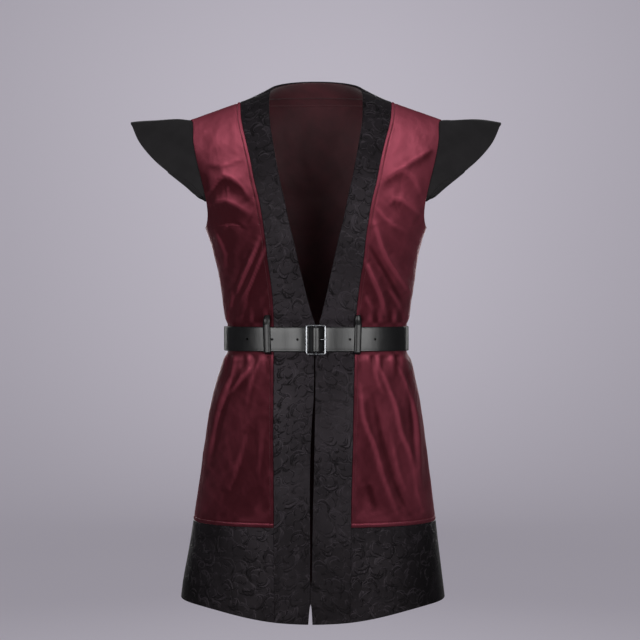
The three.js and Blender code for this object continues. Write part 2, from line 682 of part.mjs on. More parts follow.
const firstLayer = 2 * LAYER_GAP + BELT.thickness / 2;
const secondLayer = firstLayer + BELT.thickness + LAYER_GAP;
const returnLine = smooth(
  [...roundBar(60, 152, STRAP_LOOP_RADIUS, 5), ...STRAP_RETURN].map(inFront),
  2.2,
);
const startLine = smooth(
  [...STRAP_START, ...roundBar(270, 420, STRAP_LOOP_RADIUS, 7)].map(inFront),
  2.2,
);
const roundBody = range(40).map((s) => waistPoint(lerp(turnAtX(-46), 360 + turnAtX(44), s), firstLayer));
const overLine = offsetLine(returnLine, -(BELT.thickness + LAYER_GAP));
const arrivalLine = smooth([...STRAP_ARRIVAL.map(inFront), overLine[0]], 2.4);
const freeEnd = range(14).map((s) => waistPoint(lerp(turnAtX(-46), STRAP_END_TURN, s), secondLayer));
const strapLine = [
  ...startLine.slice(0, -1),
  ...returnLine,
  ...roundBody,
  ...arrivalLine.slice(0, -1),
  ...overLine,
  ...freeEnd,
];

// A flat strap standing on edge along a line in plan, its free end cut to a blunt point.
function strap(line) {
  const left = offsetLine(line, BELT.thickness / 2);
  const right = offsetLine(line, -BELT.thickness / 2);
  let toEnd = 0;
  const half = new Array(line.length).fill(BELT.halfHeight);
  for (let i = line.length - 1; i > 0 && toEnd < 26; i -= 1) {
    half[i] = BELT.halfHeight * (0.35 + 0.65 * Math.sqrt(clamp(toEnd / 26, 0, 1)));
    toEnd += line[i].distanceTo(line[i - 1]);
  }
  const positions = [];
  line.forEach((_, i) => {
    const ring = [
      [left[i], BELT.z - half[i]],
      [right[i], BELT.z - half[i]],
      [right[i], BELT.z + half[i]],
      [left[i], BELT.z + half[i]],
    ];
    for (const [p, z] of ring) positions.push(p.x, p.y, z);
  });
  const index = [];
  const quad = (a, b, c, d) => index.push(a, b, c, a, c, d);
  for (let i = 0; i < line.length - 1; i += 1) {
    for (let k = 0; k < 4; k += 1) {
      const next = (k + 1) % 4;
      quad(4 * i + k, 4 * i + 4 + k, 4 * i + 4 + next, 4 * i + next);
    }
  }
  quad(0, 1, 2, 3);
  const end = 4 * (line.length - 1);
  quad(end + 3, end + 2, end + 1, end);
  return facingOut(positions, index);
}

function solidOf(geometry) {
  const bare = geometry.clone();
  bare.deleteAttribute("normal");
  bare.deleteAttribute("uv");
  const merged = mergeVertices(bare, 1e-4);
  return new wasm.Manifold(
    new wasm.Mesh({
      numProp: 3,
      vertProperties: Float32Array.from(merged.attributes.position.array),
      triVerts: Uint32Array.from(merged.index.array),
    }),
  );
}

function geometryOf(solid) {
  const mesh = solid.getMesh();
  const geometry = new THREE.BufferGeometry();
  geometry.setAttribute("position", new THREE.Float32BufferAttribute(Array.from(mesh.vertProperties), 3));
  geometry.setIndex(Array.from(mesh.triVerts));
  return geometry;
}

// A punch for one belt hole at x, reaching from the middle of the strap's layer both ways.
function punch(x) {
  const layer = x < 0 ? secondLayer : firstLayer;
  const middle = x > -40 && x < 0 ? secondLayer + 2 : layer;
  const depth = BELT.thickness + 0.7 + (middle > layer ? 1.6 : 0);
  const pin = new THREE.CylinderGeometry(BELT_HOLES.diameter / 2, BELT_HOLES.diameter / 2, depth, 12);
  const near = waistPoint(turnAtX(x), 0);
  const far = waistPoint(turnAtX(x), 10);
  const out = far.clone().sub(near).normalize();
  const at = near.clone().addScaledVector(out, middle);
  const toOut = new THREE.Quaternion().setFromUnitVectors(
    new THREE.Vector3(0, 1, 0),
    new THREE.Vector3(out.x, out.y, 0),
  );
  pin.applyQuaternion(toOut);
  pin.translate(at.x, at.y, BELT.z);
  return solidOf(pin);
}

let strapSolid = solidOf(strap(strapLine));
for (const x of BELT_HOLES.x) strapSolid = strapSolid.subtract(punch(x));
const slot = new THREE.BoxGeometry(10.4, 7, 4);
slot.translate(BUCKLE.x + 6.9, frontY(0) - BUCKLE.off - 1.6, BELT.z);
strapSolid = strapSolid.subtract(solidOf(slot));
add("belt_strap", "leather", geometryOf(strapSolid));

// ---------------------------------------------------------------- buckle
function roundedRectangle(shape, cx, cy, width, height, radius) {
  const x = cx - width / 2;
  const y = cy - height / 2;
  shape.moveTo(x + radius, y);
  shape.lineTo(x + width - radius, y);
  shape.quadraticCurveTo(x + width, y, x + width, y + radius);
  shape.lineTo(x + width, y + height - radius);
  shape.quadraticCurveTo(x + width, y + height, x + width - radius, y + height);
  shape.lineTo(x + radius, y + height);
  shape.quadraticCurveTo(x, y + height, x, y + height - radius);
  shape.lineTo(x, y + radius);
  shape.quadraticCurveTo(x, y, x + radius, y);
  return shape;
}

const frameShape = roundedRectangle(new THREE.Shape(), 0, 0, BUCKLE.width, BUCKLE.height, 3.2);
const windowWidth = BUCKLE.width / 2 - BUCKLE.side - BUCKLE.bar / 2;
for (const side of [-1, 1]) {
  const cx = side * (BUCKLE.bar / 2 + windowWidth / 2);
  frameShape.holes.push(
    roundedRectangle(new THREE.Path(), cx, 0, windowWidth, BUCKLE.height - 2 * BUCKLE.end, 0.6),
  );
}
const frame = new THREE.ExtrudeGeometry(frameShape, { depth: BUCKLE.depth, bevelEnabled: false, curveSegments: 4 });
frame.rotateX(Math.PI / 2);
frame.translate(BUCKLE.x, frontY(0) - BUCKLE.off + BUCKLE.depth / 2, BUCKLE.z);
add("buckle_frame", "gunmetal", frame);

const prongLine = new THREE.CatmullRomCurve3(
  [
    [2.2, 0],
    [5, 0.7],
    [9, 2],
    [13, 3.25],
    [17.6, 3.35],
  ].map(([x, off]) => new THREE.Vector3(BUCKLE.x + x, frontY(0) - BUCKLE.off - off, BELT.z)),
);
const prongSection = new THREE.Shape();
prongSection.absarc(0, 0, 1.2, 0, 2 * Math.PI, false);
const prong = new THREE.ExtrudeGeometry(prongSection, {
  steps: 10,
  curveSegments: 4,
  bevelEnabled: false,
  extrudePath: prongLine,
});
add("buckle_prong", "gunmetal", prong);

// ---------------------------------------------------------------- belt loops
// Height down a loop and how far its back stands off the cloth, as a share of the belt's stack.
const LOOP_RUN = [
  { z: -370, lift: 0 },
  { z: -376, lift: 0 },
  { z: -382, lift: 0.2 },
  { z: -386.5, lift: 0.75 },
  { z: -389.4, lift: 1 },
  { z: -400, lift: 1 },
  { z: -410.5, lift: 1 },
  { z: -421, lift: 1 },
  { z: -431.6, lift: 1 },
  { z: -434.5, lift: 0.75 },
  { z: -439, lift: 0.2 },
  { z: -444, lift: 0 },
];
for (const side of [-1, 1]) {
  const middle = side < 0 ? LOOPS.rightX : LOOPS.leftX;
  const stack = side < 0 ? secondLayer + BELT.thickness / 2 : firstLayer + BELT.thickness / 2;
  const rows = LOOP_RUN.map(({ z, lift }) =>
    range(2).map((s) => {
      const x = middle + (s - 0.5) * LOOPS.width;
      const off = 4 * LAYER_GAP + lift * (stack - 2 * LAYER_GAP) + CLOTH.loop;
      const turn = turnOf(x - shiftAt(z), z);
      const corner = clothAt(-1, turn, z, off);
      return corner;
    }),
  );
  add(`belt_loop_${side < 0 ? "right" : "left"}`, "plain", wall(rows, CLOTH.loop));
}

export default vest;
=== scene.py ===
import math

import bmesh
import bpy
import numpy as np
from mathutils import Matrix, Vector


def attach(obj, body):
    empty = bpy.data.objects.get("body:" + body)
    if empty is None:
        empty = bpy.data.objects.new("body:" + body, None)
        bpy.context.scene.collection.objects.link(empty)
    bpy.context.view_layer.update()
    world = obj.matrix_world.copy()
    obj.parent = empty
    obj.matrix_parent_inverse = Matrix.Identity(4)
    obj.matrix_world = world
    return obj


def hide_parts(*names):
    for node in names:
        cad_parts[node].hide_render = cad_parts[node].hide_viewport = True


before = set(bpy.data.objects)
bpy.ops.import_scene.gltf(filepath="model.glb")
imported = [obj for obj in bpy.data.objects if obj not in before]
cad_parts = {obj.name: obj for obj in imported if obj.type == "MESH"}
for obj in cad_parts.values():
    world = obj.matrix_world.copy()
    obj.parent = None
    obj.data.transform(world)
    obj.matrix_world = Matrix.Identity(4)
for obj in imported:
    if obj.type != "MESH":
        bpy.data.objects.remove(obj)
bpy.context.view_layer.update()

# ------------ sizes, in millimetres as in the CAD model
VELVET, BROCADE, FACING, WING, LOOP = 2.0, 2.5, 1.0, 3.0, 2.0
SEAM_GAP = 0.16
LAYER_GAP = 0.4
WING_GAP = 0.5
# The shell's cross-section lies between an ellipse (2) and a rectangle.
ROUNDNESS = 2.4
ARMPIT_Z, HEM_SEAM_Z, FOOT_Z = -227.0, -710.0, -850.0
HEM_EDGE = dict(z=-838.0, front_drop=23.0, back_drop=10.0)
# The belt holds the cloth still between these heights.
HELD_TOP, HELD_FOOT = -388.0, -432.0
NECK = dict(half=78.0, back=62.0, rise=25.0, roll=0.8)
NECK_BAND = dict(half=126.0, back=88.0, drop=17.0, lift=3.0)
SHOULDER = dict(half=210.0, drop=47.0)
FRONT_ROLL, BACK_ROLL, NAPE_FALL = 1.7, 3.0, 4.0
ARMHOLE_CUT = math.radians(29)
BELT = dict(z=-410.5, half=20.0, thick=2.4)
BUCKLE = dict(z=-411.0, width=33.0, height=48.5, depth=3.0, side=2.9, bar=1.35, off=10.4)
LOOPS = dict(width=10.6, right=-77.0, left=67.0)
WING_START = math.pi / 3
CLOTH_STEP = 3.0
PILE_SLOPE = 0.65
FOLD_SCALE = 1.5
STITCH = dict(inset=6.5, pitch=3.6, length=2.7, radius=0.33, sink=0.1, sides=5)
# Rings of one stitch: share of its length, size, and lift in thread radii.
STITCH_RINGS = ((0.0, 0.35, -0.8), (0.2, 0.9, 0.3), (0.5, 1.0, 0.7), (0.8, 0.9, 0.3), (1.0, 0.35, -0.8))
# How far from a panel's edge its grid is finest: over the rolled edge, the puff and the stitched groove.
FINE = np.array([0.0, 0.12, 0.4, 0.85, 1.5, 2.6, 3.9, 5.0, 5.8, 6.5, 7.2, 8.1, 9.6, 11.6])
PLAIN_END = np.array([0.0, CLOTH_STEP])


def table(names, rows):
    return {name: np.array([row[i] for row in rows], float) for i, name in enumerate(names.split())}


SECTIONS = table("z half front back shift", [
    (-227, 184, 118, 105, 0), (-247, 177, 117, 103, 0), (-280, 168, 113, 98, 1),
    (-313, 162.5, 109, 94, 2), (-347, 157, 105, 90, 2), (-376, 153.5, 102.5, 87.5, 2),
    (-388, 149, 100, 85, 2), (-432, 149, 100, 85, 2), (-447, 156.5, 104, 91, 2),
    (-480, 165, 110, 100, 1), (-513, 172, 114, 107, 1), (-547, 177.5, 118, 113, 0),
    (-613, 187.5, 125, 121, -1), (-680, 197, 132, 129, -2), (-747, 206, 140, 137, -3),
    (-813, 216, 147, 146, -5), (-860, 221.5, 152, 152, -5),
])
SHELL = table("share half", [(0, 184), (0.12, 190), (0.45, 212), (0.63, 220), (0.8, 221), (1, 210)])
OPENING_EDGE = table("z gap middle", [
    (0, 78, 0), (-16, 78, 0), (-53, 76, 0), (-87, 70.6, 0), (-121, 64.5, 0), (-154, 58, 0),
    (-187, 50.5, 0), (-219, 44, 0), (-251, 36, 0), (-283, 29, 0), (-315, 21.5, 0.5), (-347, 14, 1),
    (-373, 7, 1.5), (-386, 3.4, 2.2), (-398, 1.4, 2), (-430, 0.9, -1.5), (-500, 1.1, -2),
    (-545, 2.2, -4), (-600, 3, -5.6), (-667, 2.5, -6.8), (-740, 1.4, -7.2), (-792, 1.1, -7.6),
    (-806, -1, -7.8), (-824, -1, -8), (-834, 1.2, -8.2), (-862, 3.4, -8.6),
])
BAND_SEAM = table("z right left", [
    (-17, 126, 126), (-53, 122, 122), (-87, 114, 113), (-121, 106, 105), (-154, 99.5, 98.5),
    (-187, 91.5, 90.5), (-219, 86, 85), (-251, 81.5, 80.5), (-283, 78, 77), (-315, 73.5, 72),
    (-347, 70, 68), (-380, 68.5, 65), (-447, 68.5, 62.5), (-560, 68.5, 60), (-680, 67.5, 57),
    (-860, 65.5, 55.5),
])
WING_EDGE = table("share x y z", [
    (0, 309, 0, -51), (0.25, 292, 24, -86), (0.5, 263, 40, -120), (0.75, 229, 50, -147),
    (1, 188, 56, -177),
])

# Folds: rise of a ridge or depth of a trough, half width, and the points of its run; small creases last.
FRONT_FOLDS = [
    (5, 11, [(-172, -172), (-158, -152), (-144, -146), (-122, -160), (-103, -186)]),
    (4.5, 10, [(-169, -191), (-144, -187), (-100, -210)]),
    (3.5, 9, [(-163, -236), (-147, -273), (-150, -300)]),
    (5, 8, [(-90, -250), (-112, -300), (-130, -338), (-142, -366)]),
    (4, 7, [(-82, -266), (-96, -300), (-112, -340), (-117, -372)]),
    (4.5, 10, [(190, -99), (142, -131), (113, -150)]),
    (4, 9, [(108, -156), (137, -137), (160, -152), (172, -178)]),
    (4, 9, [(116, -192), (134, -184), (172, -208)]),
    (6.5, 9, [(95, -226), (110, -272), (130, -304), (152, -334)]),
    (6.5, 8, [(80, -285), (92, -312), (104, -339), (113, -376)]),
    (5, 11, [(-132, -446), (-136, -470), (-158, -530), (-177, -618)]),
    (4, 10, [(-103, -455), (-142, -500), (-155, -530)]),
    (3, 13, [(-110, -560), (-126, -615), (-142, -660)]),
    (5, 9, [(102, -450), (128, -518), (138, -563), (154, -601), (163, -659), (174, -690)]),
    (6, 10, [(72, -490), (78, -541), (93, -579), (109, -633), (130, -688)]),
    (4.5, 9, [(131, -448), (150, -493), (163, -547), (167, -627), (170, -660)]),
    (-3, 12, [(84, -640), (96, -690)]),
    (1.6, 5, [(-120, -118), (-150, -128), (-178, -124)]),
    (-1.5, 5, [(-112, -232), (-138, -222), (-168, -228)]),
    (1.4, 4.5, [(-102, -318), (-120, -345), (-124, -366)]),
    (1.6, 4.5, [(-134, -330), (-138, -362)]),
    (-1.8, 5, [(-100, -262), (-126, -318), (-132, -360)]),
    (1.5, 5, [(96, -196), (118, -222), (150, -236)]),
    (-2, 5, [(88, -262), (118, -312), (138, -346)]),
    (1.6, 4.5, [(118, -330), (134, -352), (138, -368)]),
    (1.5, 5, [(80, -338), (92, -366)]),
    (-2, 6, [(-118, -452), (-148, -520), (-166, -600)]),
    (1.5, 5, [(-92, -448), (-104, -478), (-112, -520)]),
    (1.5, 6, [(-86, -560), (-92, -640)]),
    (2, 5, [(90, -446), (100, -478), (108, -500)]),
    (-2.6, 6, [(92, -500), (106, -570), (126, -640), (150, -692)]),
    (1.8, 5, [(120, -560), (132, -620), (146, -660)]),
    (-2, 6, [(150, -470), (156, -560), (158, -660)]),
]
BACK_FOLDS = [
    (3, 16, [(-150, -120), (-60, -165), (30, -170)]),
    (3.5, 14, [(160, -150), (120, -210), (110, -270)]),
    (3.5, 12, [(-120, -250), (-96, -320), (-90, -370)]),
    (3, 11, [(60, -290), (72, -330), (84, -372)]),
    (2.5, 12, [(-20, -300), (-12, -372)]),
    (5.5, 14, [(-110, -450), (-126, -540), (-142, -660)]),
    (4.5, 15, [(-52, -450), (-60, -560), (-54, -670)]),
    (4.5, 14, [(18, -450), (14, -540), (26, -640)]),
    (5, 14, [(76, -450), (92, -560), (96, -680)]),
    (4.5, 13, [(128, -450), (146, -530), (160, -640)]),
    (1.6, 5, [(-130, -340), (-124, -372)]),
    (-2, 7, [(-80, -450), (-92, -560), (-98, -640)]),
    (-2, 7, [(46, -450), (56, -560), (60, -650)]),
    (1.6, 5, [(100, -330), (110, -370)]),
    (1.5, 6, [(-30, -450), (-24, -520)]),
]

# ------------ reading the tables


def read(rows, column, at):
    """One column of a table, read smoothly at values of its first column."""
    keys, values, at = next(iter(rows.values())), rows[column], np.asarray(at, float)
    if keys[-1] < keys[0]:
        keys, at = -keys, -at
    ends = np.diff(values) / np.diff(keys)
    slopes = np.concatenate([ends[:1], (values[2:] - values[:-2]) / (keys[2:] - keys[:-2]), ends[-1:]])
    i = np.clip(np.searchsorted(keys, at, side="right") - 1, 0, len(keys) - 2)
    span = keys[i + 1] - keys[i]
    s = np.clip((at - keys[i]) / span, 0, 1)
    moving = values[i] != values[i + 1]
    ma, mb = slopes[i] * span * moving, slopes[i + 1] * span * moving
    return (
        (2 * s**3 - 3 * s**2 + 1) * values[i]
        + (s**3 - 2 * s**2 + s) * ma
        + (3 * s**2 - 2 * s**3) * values[i + 1]
        + (s**3 - s**2) * mb
    )


def lerp(a, b, s):
    return a + (b - a) * s


def ease(value):
    s = np.clip(value, 0, 1)
    return s * s * (3 - 2 * s)


def power(value, exponent):
    return np.sign(value) * np.abs(value) ** exponent


def unit(vectors):
    return vectors / np.maximum(np.linalg.norm(vectors, axis=-1, keepdims=True), 1e-12)


def run_of(points):
    """Length along a line up to each of its points."""
    return np.concatenate([[0], np.cumsum(np.linalg.norm(np.diff(points, axis=0), axis=1))])


def at_run(marks, run, values):
    return np.stack([np.interp(marks, run, column) for column in values.T], -1)


def smooth_line(points, spacing):
    """A smooth line through points in a plane, sampled evenly."""
    points = np.array(points, float)
    padded = np.concatenate([[2 * points[0] - points[1]], points, [2 * points[-1] - points[-2]]])
    fine = []
    for a, b, c, d in zip(padded, padded[1:], padded[2:], padded[3:]):
        bend, twist = 2 * a - 5 * b + 4 * c - d, 3 * b - 3 * c + d - a
        for s in np.linspace(0, 1, 12, endpoint=False):
            fine.append(0.5 * (2 * b + (c - a) * s + bend * s**2 + twist * s**3))
    fine = np.array(fine + [points[-1]])
    run = run_of(fine)
    return at_run(np.linspace(0, run[-1], max(3, int(round(run[-1] / spacing)) + 1)), run, fine)


def square_to(along):
    """Directions in a plane at right angles to others."""
    return np.stack([along[..., 1], -along[..., 0]], -1)


# ------------ the worn shell


def share_up(v):
    return np.clip((v - ARMPIT_Z) / -ARMPIT_Z, 0, 1)


def shoulder_z(x):
    return (NECK["half"] - np.abs(x)) * SHOULDER["drop"] / (SHOULDER["half"] - NECK["half"])


def half_width(v):
    return np.where(v > ARMPIT_Z, read(SHELL, "half", share_up(v)), read(SECTIONS, "half", v))


def shift_at(z):
    return read(SECTIONS, "shift", z)


def turn_of(x, v):
    reach = np.clip(np.abs(x) / half_width(v), 0, 1)
    return np.sign(x) * np.arcsin(reach ** (ROUNDNESS / 2))


def nape_depth(x):
    """How deep the curved nape seam lies at x, as a share: 1 in the middle, 0 beyond its corners."""
    return np.sqrt(1 - np.clip(np.abs(x) / NECK_BAND["half"], 0, 1) ** 2)


def shell(face, turn, v):
    """Points of the shell: face -1 in front and 1 behind, turn from the centre line, v the row's height."""
    turn, v = np.broadcast_arrays(np.asarray(turn, float), np.asarray(v, float))
    share = share_up(v)
    sideways = power(np.sin(turn), 2 / ROUNDNESS)
    x = half_width(v) * sideways
    across = np.maximum(np.cos(turn), 0) ** (2 / ROUNDNESS)
    if face < 0:
        top_z = shoulder_z(x)
        high_y = SECTIONS["front"][0] * np.maximum(1 - share**FRONT_ROLL, 0) ** (1 / FRONT_ROLL) * across
    else:
        top_x = np.abs(SHOULDER["half"] * sideways)
        depth = nape_depth(top_x)
        nape_z = -NECK_BAND["drop"] + NECK_BAND["lift"] * depth
        top_z = np.where(top_x > NECK_BAND["half"], shoulder_z(top_x), nape_z)
        rolled_back = np.maximum(1 - share**BACK_ROLL, 0) ** (1 / BACK_ROLL)
        fade = lerp(rolled_back, 1 - share**NAPE_FALL, depth**0.6)
        high_y = lerp(NECK_BAND["back"] * depth, SECTIONS["back"][0] * across, fade)
    low_y = read(SECTIONS, "front" if face < 0 else "back", v) * across
    y = face * np.where(share > 0, high_y, low_y)
    z = np.where(share > 0, lerp(ARMPIT_Z, top_z, share), v)
    return np.stack([x + shift_at(v), y, z], -1)


def shoulder_normal(side):
    """Square to the shoulder seam, leaning out to one side."""
    slope = unit(np.array([SHOULDER["drop"], 0, SHOULDER["half"] - NECK["half"]]))
    return np.where(np.asarray(side)[..., None] < 0, slope * (-1, 1, 1), slope)


def shell_normal(face, turn, v):
    turn, v = np.broadcast_arrays(np.asarray(turn, float), np.asarray(v, float))
    limit = math.pi / 2
    ahead, behind = np.minimum(turn + 0.004, limit), np.maximum(turn - 0.004, -limit)
    along = shell(face, ahead, v) - shell(face, behind, v)
    up = shell(face, turn, np.minimum(v + 1, 0)) - shell(face, turn, v - 1)
    on_shoulder = v > -0.01
    if face > 0:
        on_shoulder &= np.abs(shell(1, turn, 0.0)[..., 0]) >= NECK_BAND["half"] - 0.5
    return np.where(on_shoulder[..., None], shoulder_normal(turn), -face * unit(np.cross(along, up)))


def near_run(run, x, z):
    """Distance from a run of points, share of the way along it, and how far round to its steep side."""
    distance = np.full(np.shape(x), 1e9)
    along = np.zeros(np.shape(x))
    steep = np.zeros(np.shape(x))
    for i, ((ax, az), (bx, bz)) in enumerate(zip(run[:-1], run[1:])):
        length2 = (bx - ax) ** 2 + (bz - az) ** 2
        s = np.clip(((x - ax) * (bx - ax) + (z - az) * (bz - az)) / length2, 0, 1)
        dx, dz = x - lerp(ax, bx, s), z - lerp(az, bz, s)
        here = np.hypot(dx, dz)
        closer = here < distance
        distance = np.where(closer, here, distance)
        along = np.where(closer, (i + s) / (len(run) - 1), along)
        steep = np.where(closer, (0.8 * dx - 0.6 * dz) / np.maximum(here, 1e-6), steep)
    return distance, along, steep


def undulation(x, z, face):
    """Slow unevenness that no cloth is free of."""
    rng = np.random.default_rng(7 if face < 0 else 11)
    out = np.zeros(np.shape(x))
    for wave, rise in ((150, 0.9), (95, 0.8), (60, 0.45), (38, 0.2)):
        for _ in range(3):
            angle, phase = rng.uniform(-0.9, 0.9), rng.uniform(0, 2 * math.pi)
            bent = x + 10 * np.sin(z / 33 + 3 * phase)
            swing = np.sin(2 * math.pi / wave * (bent * math.cos(angle) + z * math.sin(angle)) + phase)
            # Longer waves are smooth; the others rise to narrow crests.
            out += rise / 3 * (swing if wave > 100 else 0.6 - 1.6 * np.abs(swing))
    return out


SMOOTH_FOLDS = {}
for face, folds in ((-1, FRONT_FOLDS), (1, BACK_FOLDS)):
    SMOOTH_FOLDS[face] = [(rise, width, smooth_line(run, 13.0)) for rise, width, run in folds]


def clear_of_belt(z):
    return np.maximum(ease((z - HELD_TOP) / 10), ease((HELD_FOOT - z) / 10))


def relief(face, x, z):
    """How far the velvet stands out from the shell: folds, and gathers where the belt draws it in."""
    out = undulation(x, z, face)
    for rise, width, run in SMOOTH_FOLDS[face]:
        distance, along, steep = near_run(run, x, z)
        taper = 0.15 + 0.85 * np.sin(math.pi * np.clip(along, 0.02, 0.98)) ** 0.7
        reach = width * (1.15 - 0.4 * steep) * (0.75 + 0.5 * along)
        out += FOLD_SCALE * rise * taper * np.exp(-((distance / reach) ** 1.2))
    for reach, phase in (((z - HELD_TOP) / 30, 0.6), ((HELD_FOOT - z) / 42, 2.2)):
        wave = np.cos(2 * math.pi * x / 21 + face + phase) + 0.4 * np.cos(2 * math.pi * x / 13 + phase)
        on = (reach > 0) & (reach < 1)
        fade = np.sin(math.pi * np.sqrt(np.clip(reach, 0, 1))) * ease((np.abs(x) - 66) / 10)
        out += np.where(on, np.where(x < 0, 0.9, 1.6) * wave * fade, 0)
    free_of_hem = 0.25 + 0.75 * ease((z - HEM_SEAM_Z + 4) / 24)
    free_of_shoulder = 0.15 + 0.85 * ease((-30 - z) / 40)
    return out * clear_of_belt(z) * free_of_hem * free_of_shoulder


def crest(face, P):
    """How far each point stands above the cloth around it: high on ridges, low in valleys."""
    x, z = P[..., 0], P[..., 2]
    around = [relief(face, x + dx, z + dz) for dx, dz in ((6, 0), (-6, 0), (0, 6), (0, -6))]
    return relief(face, x, z) - sum(around) / 4


# ------------ lines on the shell


def edge_turn(v):
    along = np.arccos(np.clip(1 - 2 * share_up(v), -1, 1))
    return np.where(v > ARMPIT_Z, math.pi / 2 - ARMHOLE_CUT * np.sin(along) ** 0.6, math.pi / 2)


def calm_turn(v):
    """Where the folds die out before the armhole and the side seam."""
    return np.minimum(edge_turn(v), math.pi / 2 - 0.45 * ARMHOLE_CUT * ease((v - ARMPIT_Z + 40) / 40))


def turn_where(rule, v):
    turn = turn_of(rule(v), v)
    for _ in range(8):
        turn = turn_of(rule(shell(-1, turn, v)[..., 2]), v)
    return turn


def seam_turn(side, v, inset=0.0):
    column = "right" if side < 0 else "left"
    return turn_where(lambda z: side * (read(BAND_SEAM, column, z) + inset) - shift_at(z), v)


def opening_turn(side, v):
    def rule(z):
        return side * read(OPENING_EDGE, "gap", z) + read(OPENING_EDGE, "middle", z) - shift_at(z)

    return turn_where(rule, v)


def hem_z(face, turn):
    front, back = HEM_EDGE["front_drop"] * np.cos(turn) ** 5, HEM_EDGE["back_drop"] * np.cos(turn) ** 2
    return HEM_EDGE["z"] - (front if face < 0 else back)


def cloth(face, turn, v, off=0.0):
    """Points and normals of the cloth's outer face."""
    turn, v = np.broadcast_arrays(np.asarray(turn, float), np.asarray(v, float))
    point, normal = shell(face, turn, v), shell_normal(face, turn, v)
    amount = relief(face, point[..., 0], point[..., 2]) * ease((calm_turn(v) - np.abs(turn)) / 0.16)
    if face < 0:
        seam = np.where(turn < 0, -seam_turn(-1, v), seam_turn(1, v))
        amount *= ease((np.abs(turn) - seam) / 0.07)
    return point + normal * (amount + off)[..., None], normal


# ------------ materials


def colour(r, g, b):
    """An sRGB colour from 0 to 255 as linear values."""
    shares = (r / 255, g / 255, b / 255)
    return tuple(((c + 0.055) / 1.055) ** 2.4 if c > 0.0404 else c / 12.92 for c in shares) + (1.0,)


class Nodes:
    """Builds one node material."""

    def __init__(self, name):
        self.material = bpy.data.materials.new(name)
        self.material.use_nodes = True
        self.tree = self.material.node_tree
        self.shader = self.tree.nodes["Principled BSDF"]

    def add(self, kind, *values, **inputs):
        """A new node, with values for its first sockets and for the sockets that are named."""
        node = self.tree.nodes.new(kind)
        self.put(node, dict(enumerate(values)) | inputs)
        return node

    def put(self, node, inputs):
        for name, value in inputs.items():
            socket = node.inputs[name.replace("_", " ") if isinstance(name, str) else name]
            if isinstance(value, bpy.types.NodeSocket):
                self.tree.links.new(value, socket)
            else:
                socket.default_value = value

    def math(self, operation, *values):
        node = self.add("ShaderNodeMath", *values)
        node.operation = operation
        return node.outputs[0]

    def times(self, a, b):
        return self.math("MULTIPLY", a, b)

    def less(self, a, b):
        return self.math("SUBTRACT", a, b)

    def total(self, first, *others):
        for value in others:
            first = self.math("ADD", first, value)
        return first

    def vector(self, operation, *values):
        node = self.add("ShaderNodeVectorMath", *values)
        node.operation = operation
        return node.outputs[1 if operation in ("LENGTH", "DOT_PRODUCT") else 0]

    def place(self):
        """The cloth's own coordinates, in metres along its width and length."""
        uv = self.add("ShaderNodeUVMap")
        uv.uv_map = "cloth"
        return self.drawn_out(uv.outputs[0], 1.0)

    def drawn_out(self, where, share):
        """Coordinates that run slower along the cloth, so that a pattern is drawn out that way."""
        return self.vector("MULTIPLY", where, (1.0, share, 1.0))

    def point(self):
        """The point itself, in metres across, back and up."""
        return self.add("ShaderNodeTexCoord").outputs["Object"]

    def axes(self, vector):
        return self.add("ShaderNodeSeparateXYZ", vector).outputs

    def noise(self, where, scale, detail=2.0, roughness=0.5, distortion=0.0, output="Fac"):
        node = self.add("ShaderNodeTexNoise", Vector=where, Scale=scale, Detail=detail)
        self.put(node, dict(Roughness=roughness, Distortion=distortion))
        return node.outputs[output]

    def ramp(self, value, low, high, to_low=0.0, to_high=1.0):
        node = self.add("ShaderNodeMapRange", value, low, high, to_low, to_high)
        node.interpolation_type = "SMOOTHSTEP"
        return node.outputs[0]

    def mix(self, share, a, b):
        node = self.add("ShaderNodeMix", share)
        node.data_type = "RGBA"
        self.put(node, {6: a, 7: b})
        return node.outputs[2]

    def bump(self, height, strength, distance, **normal):
        node = self.add("ShaderNodeBump", Height=height, Strength=strength, Distance=distance, **normal)
        return node.outputs[0]

    def finish(self, **inputs):
        self.put(self.shader, inputs)
        return self.material


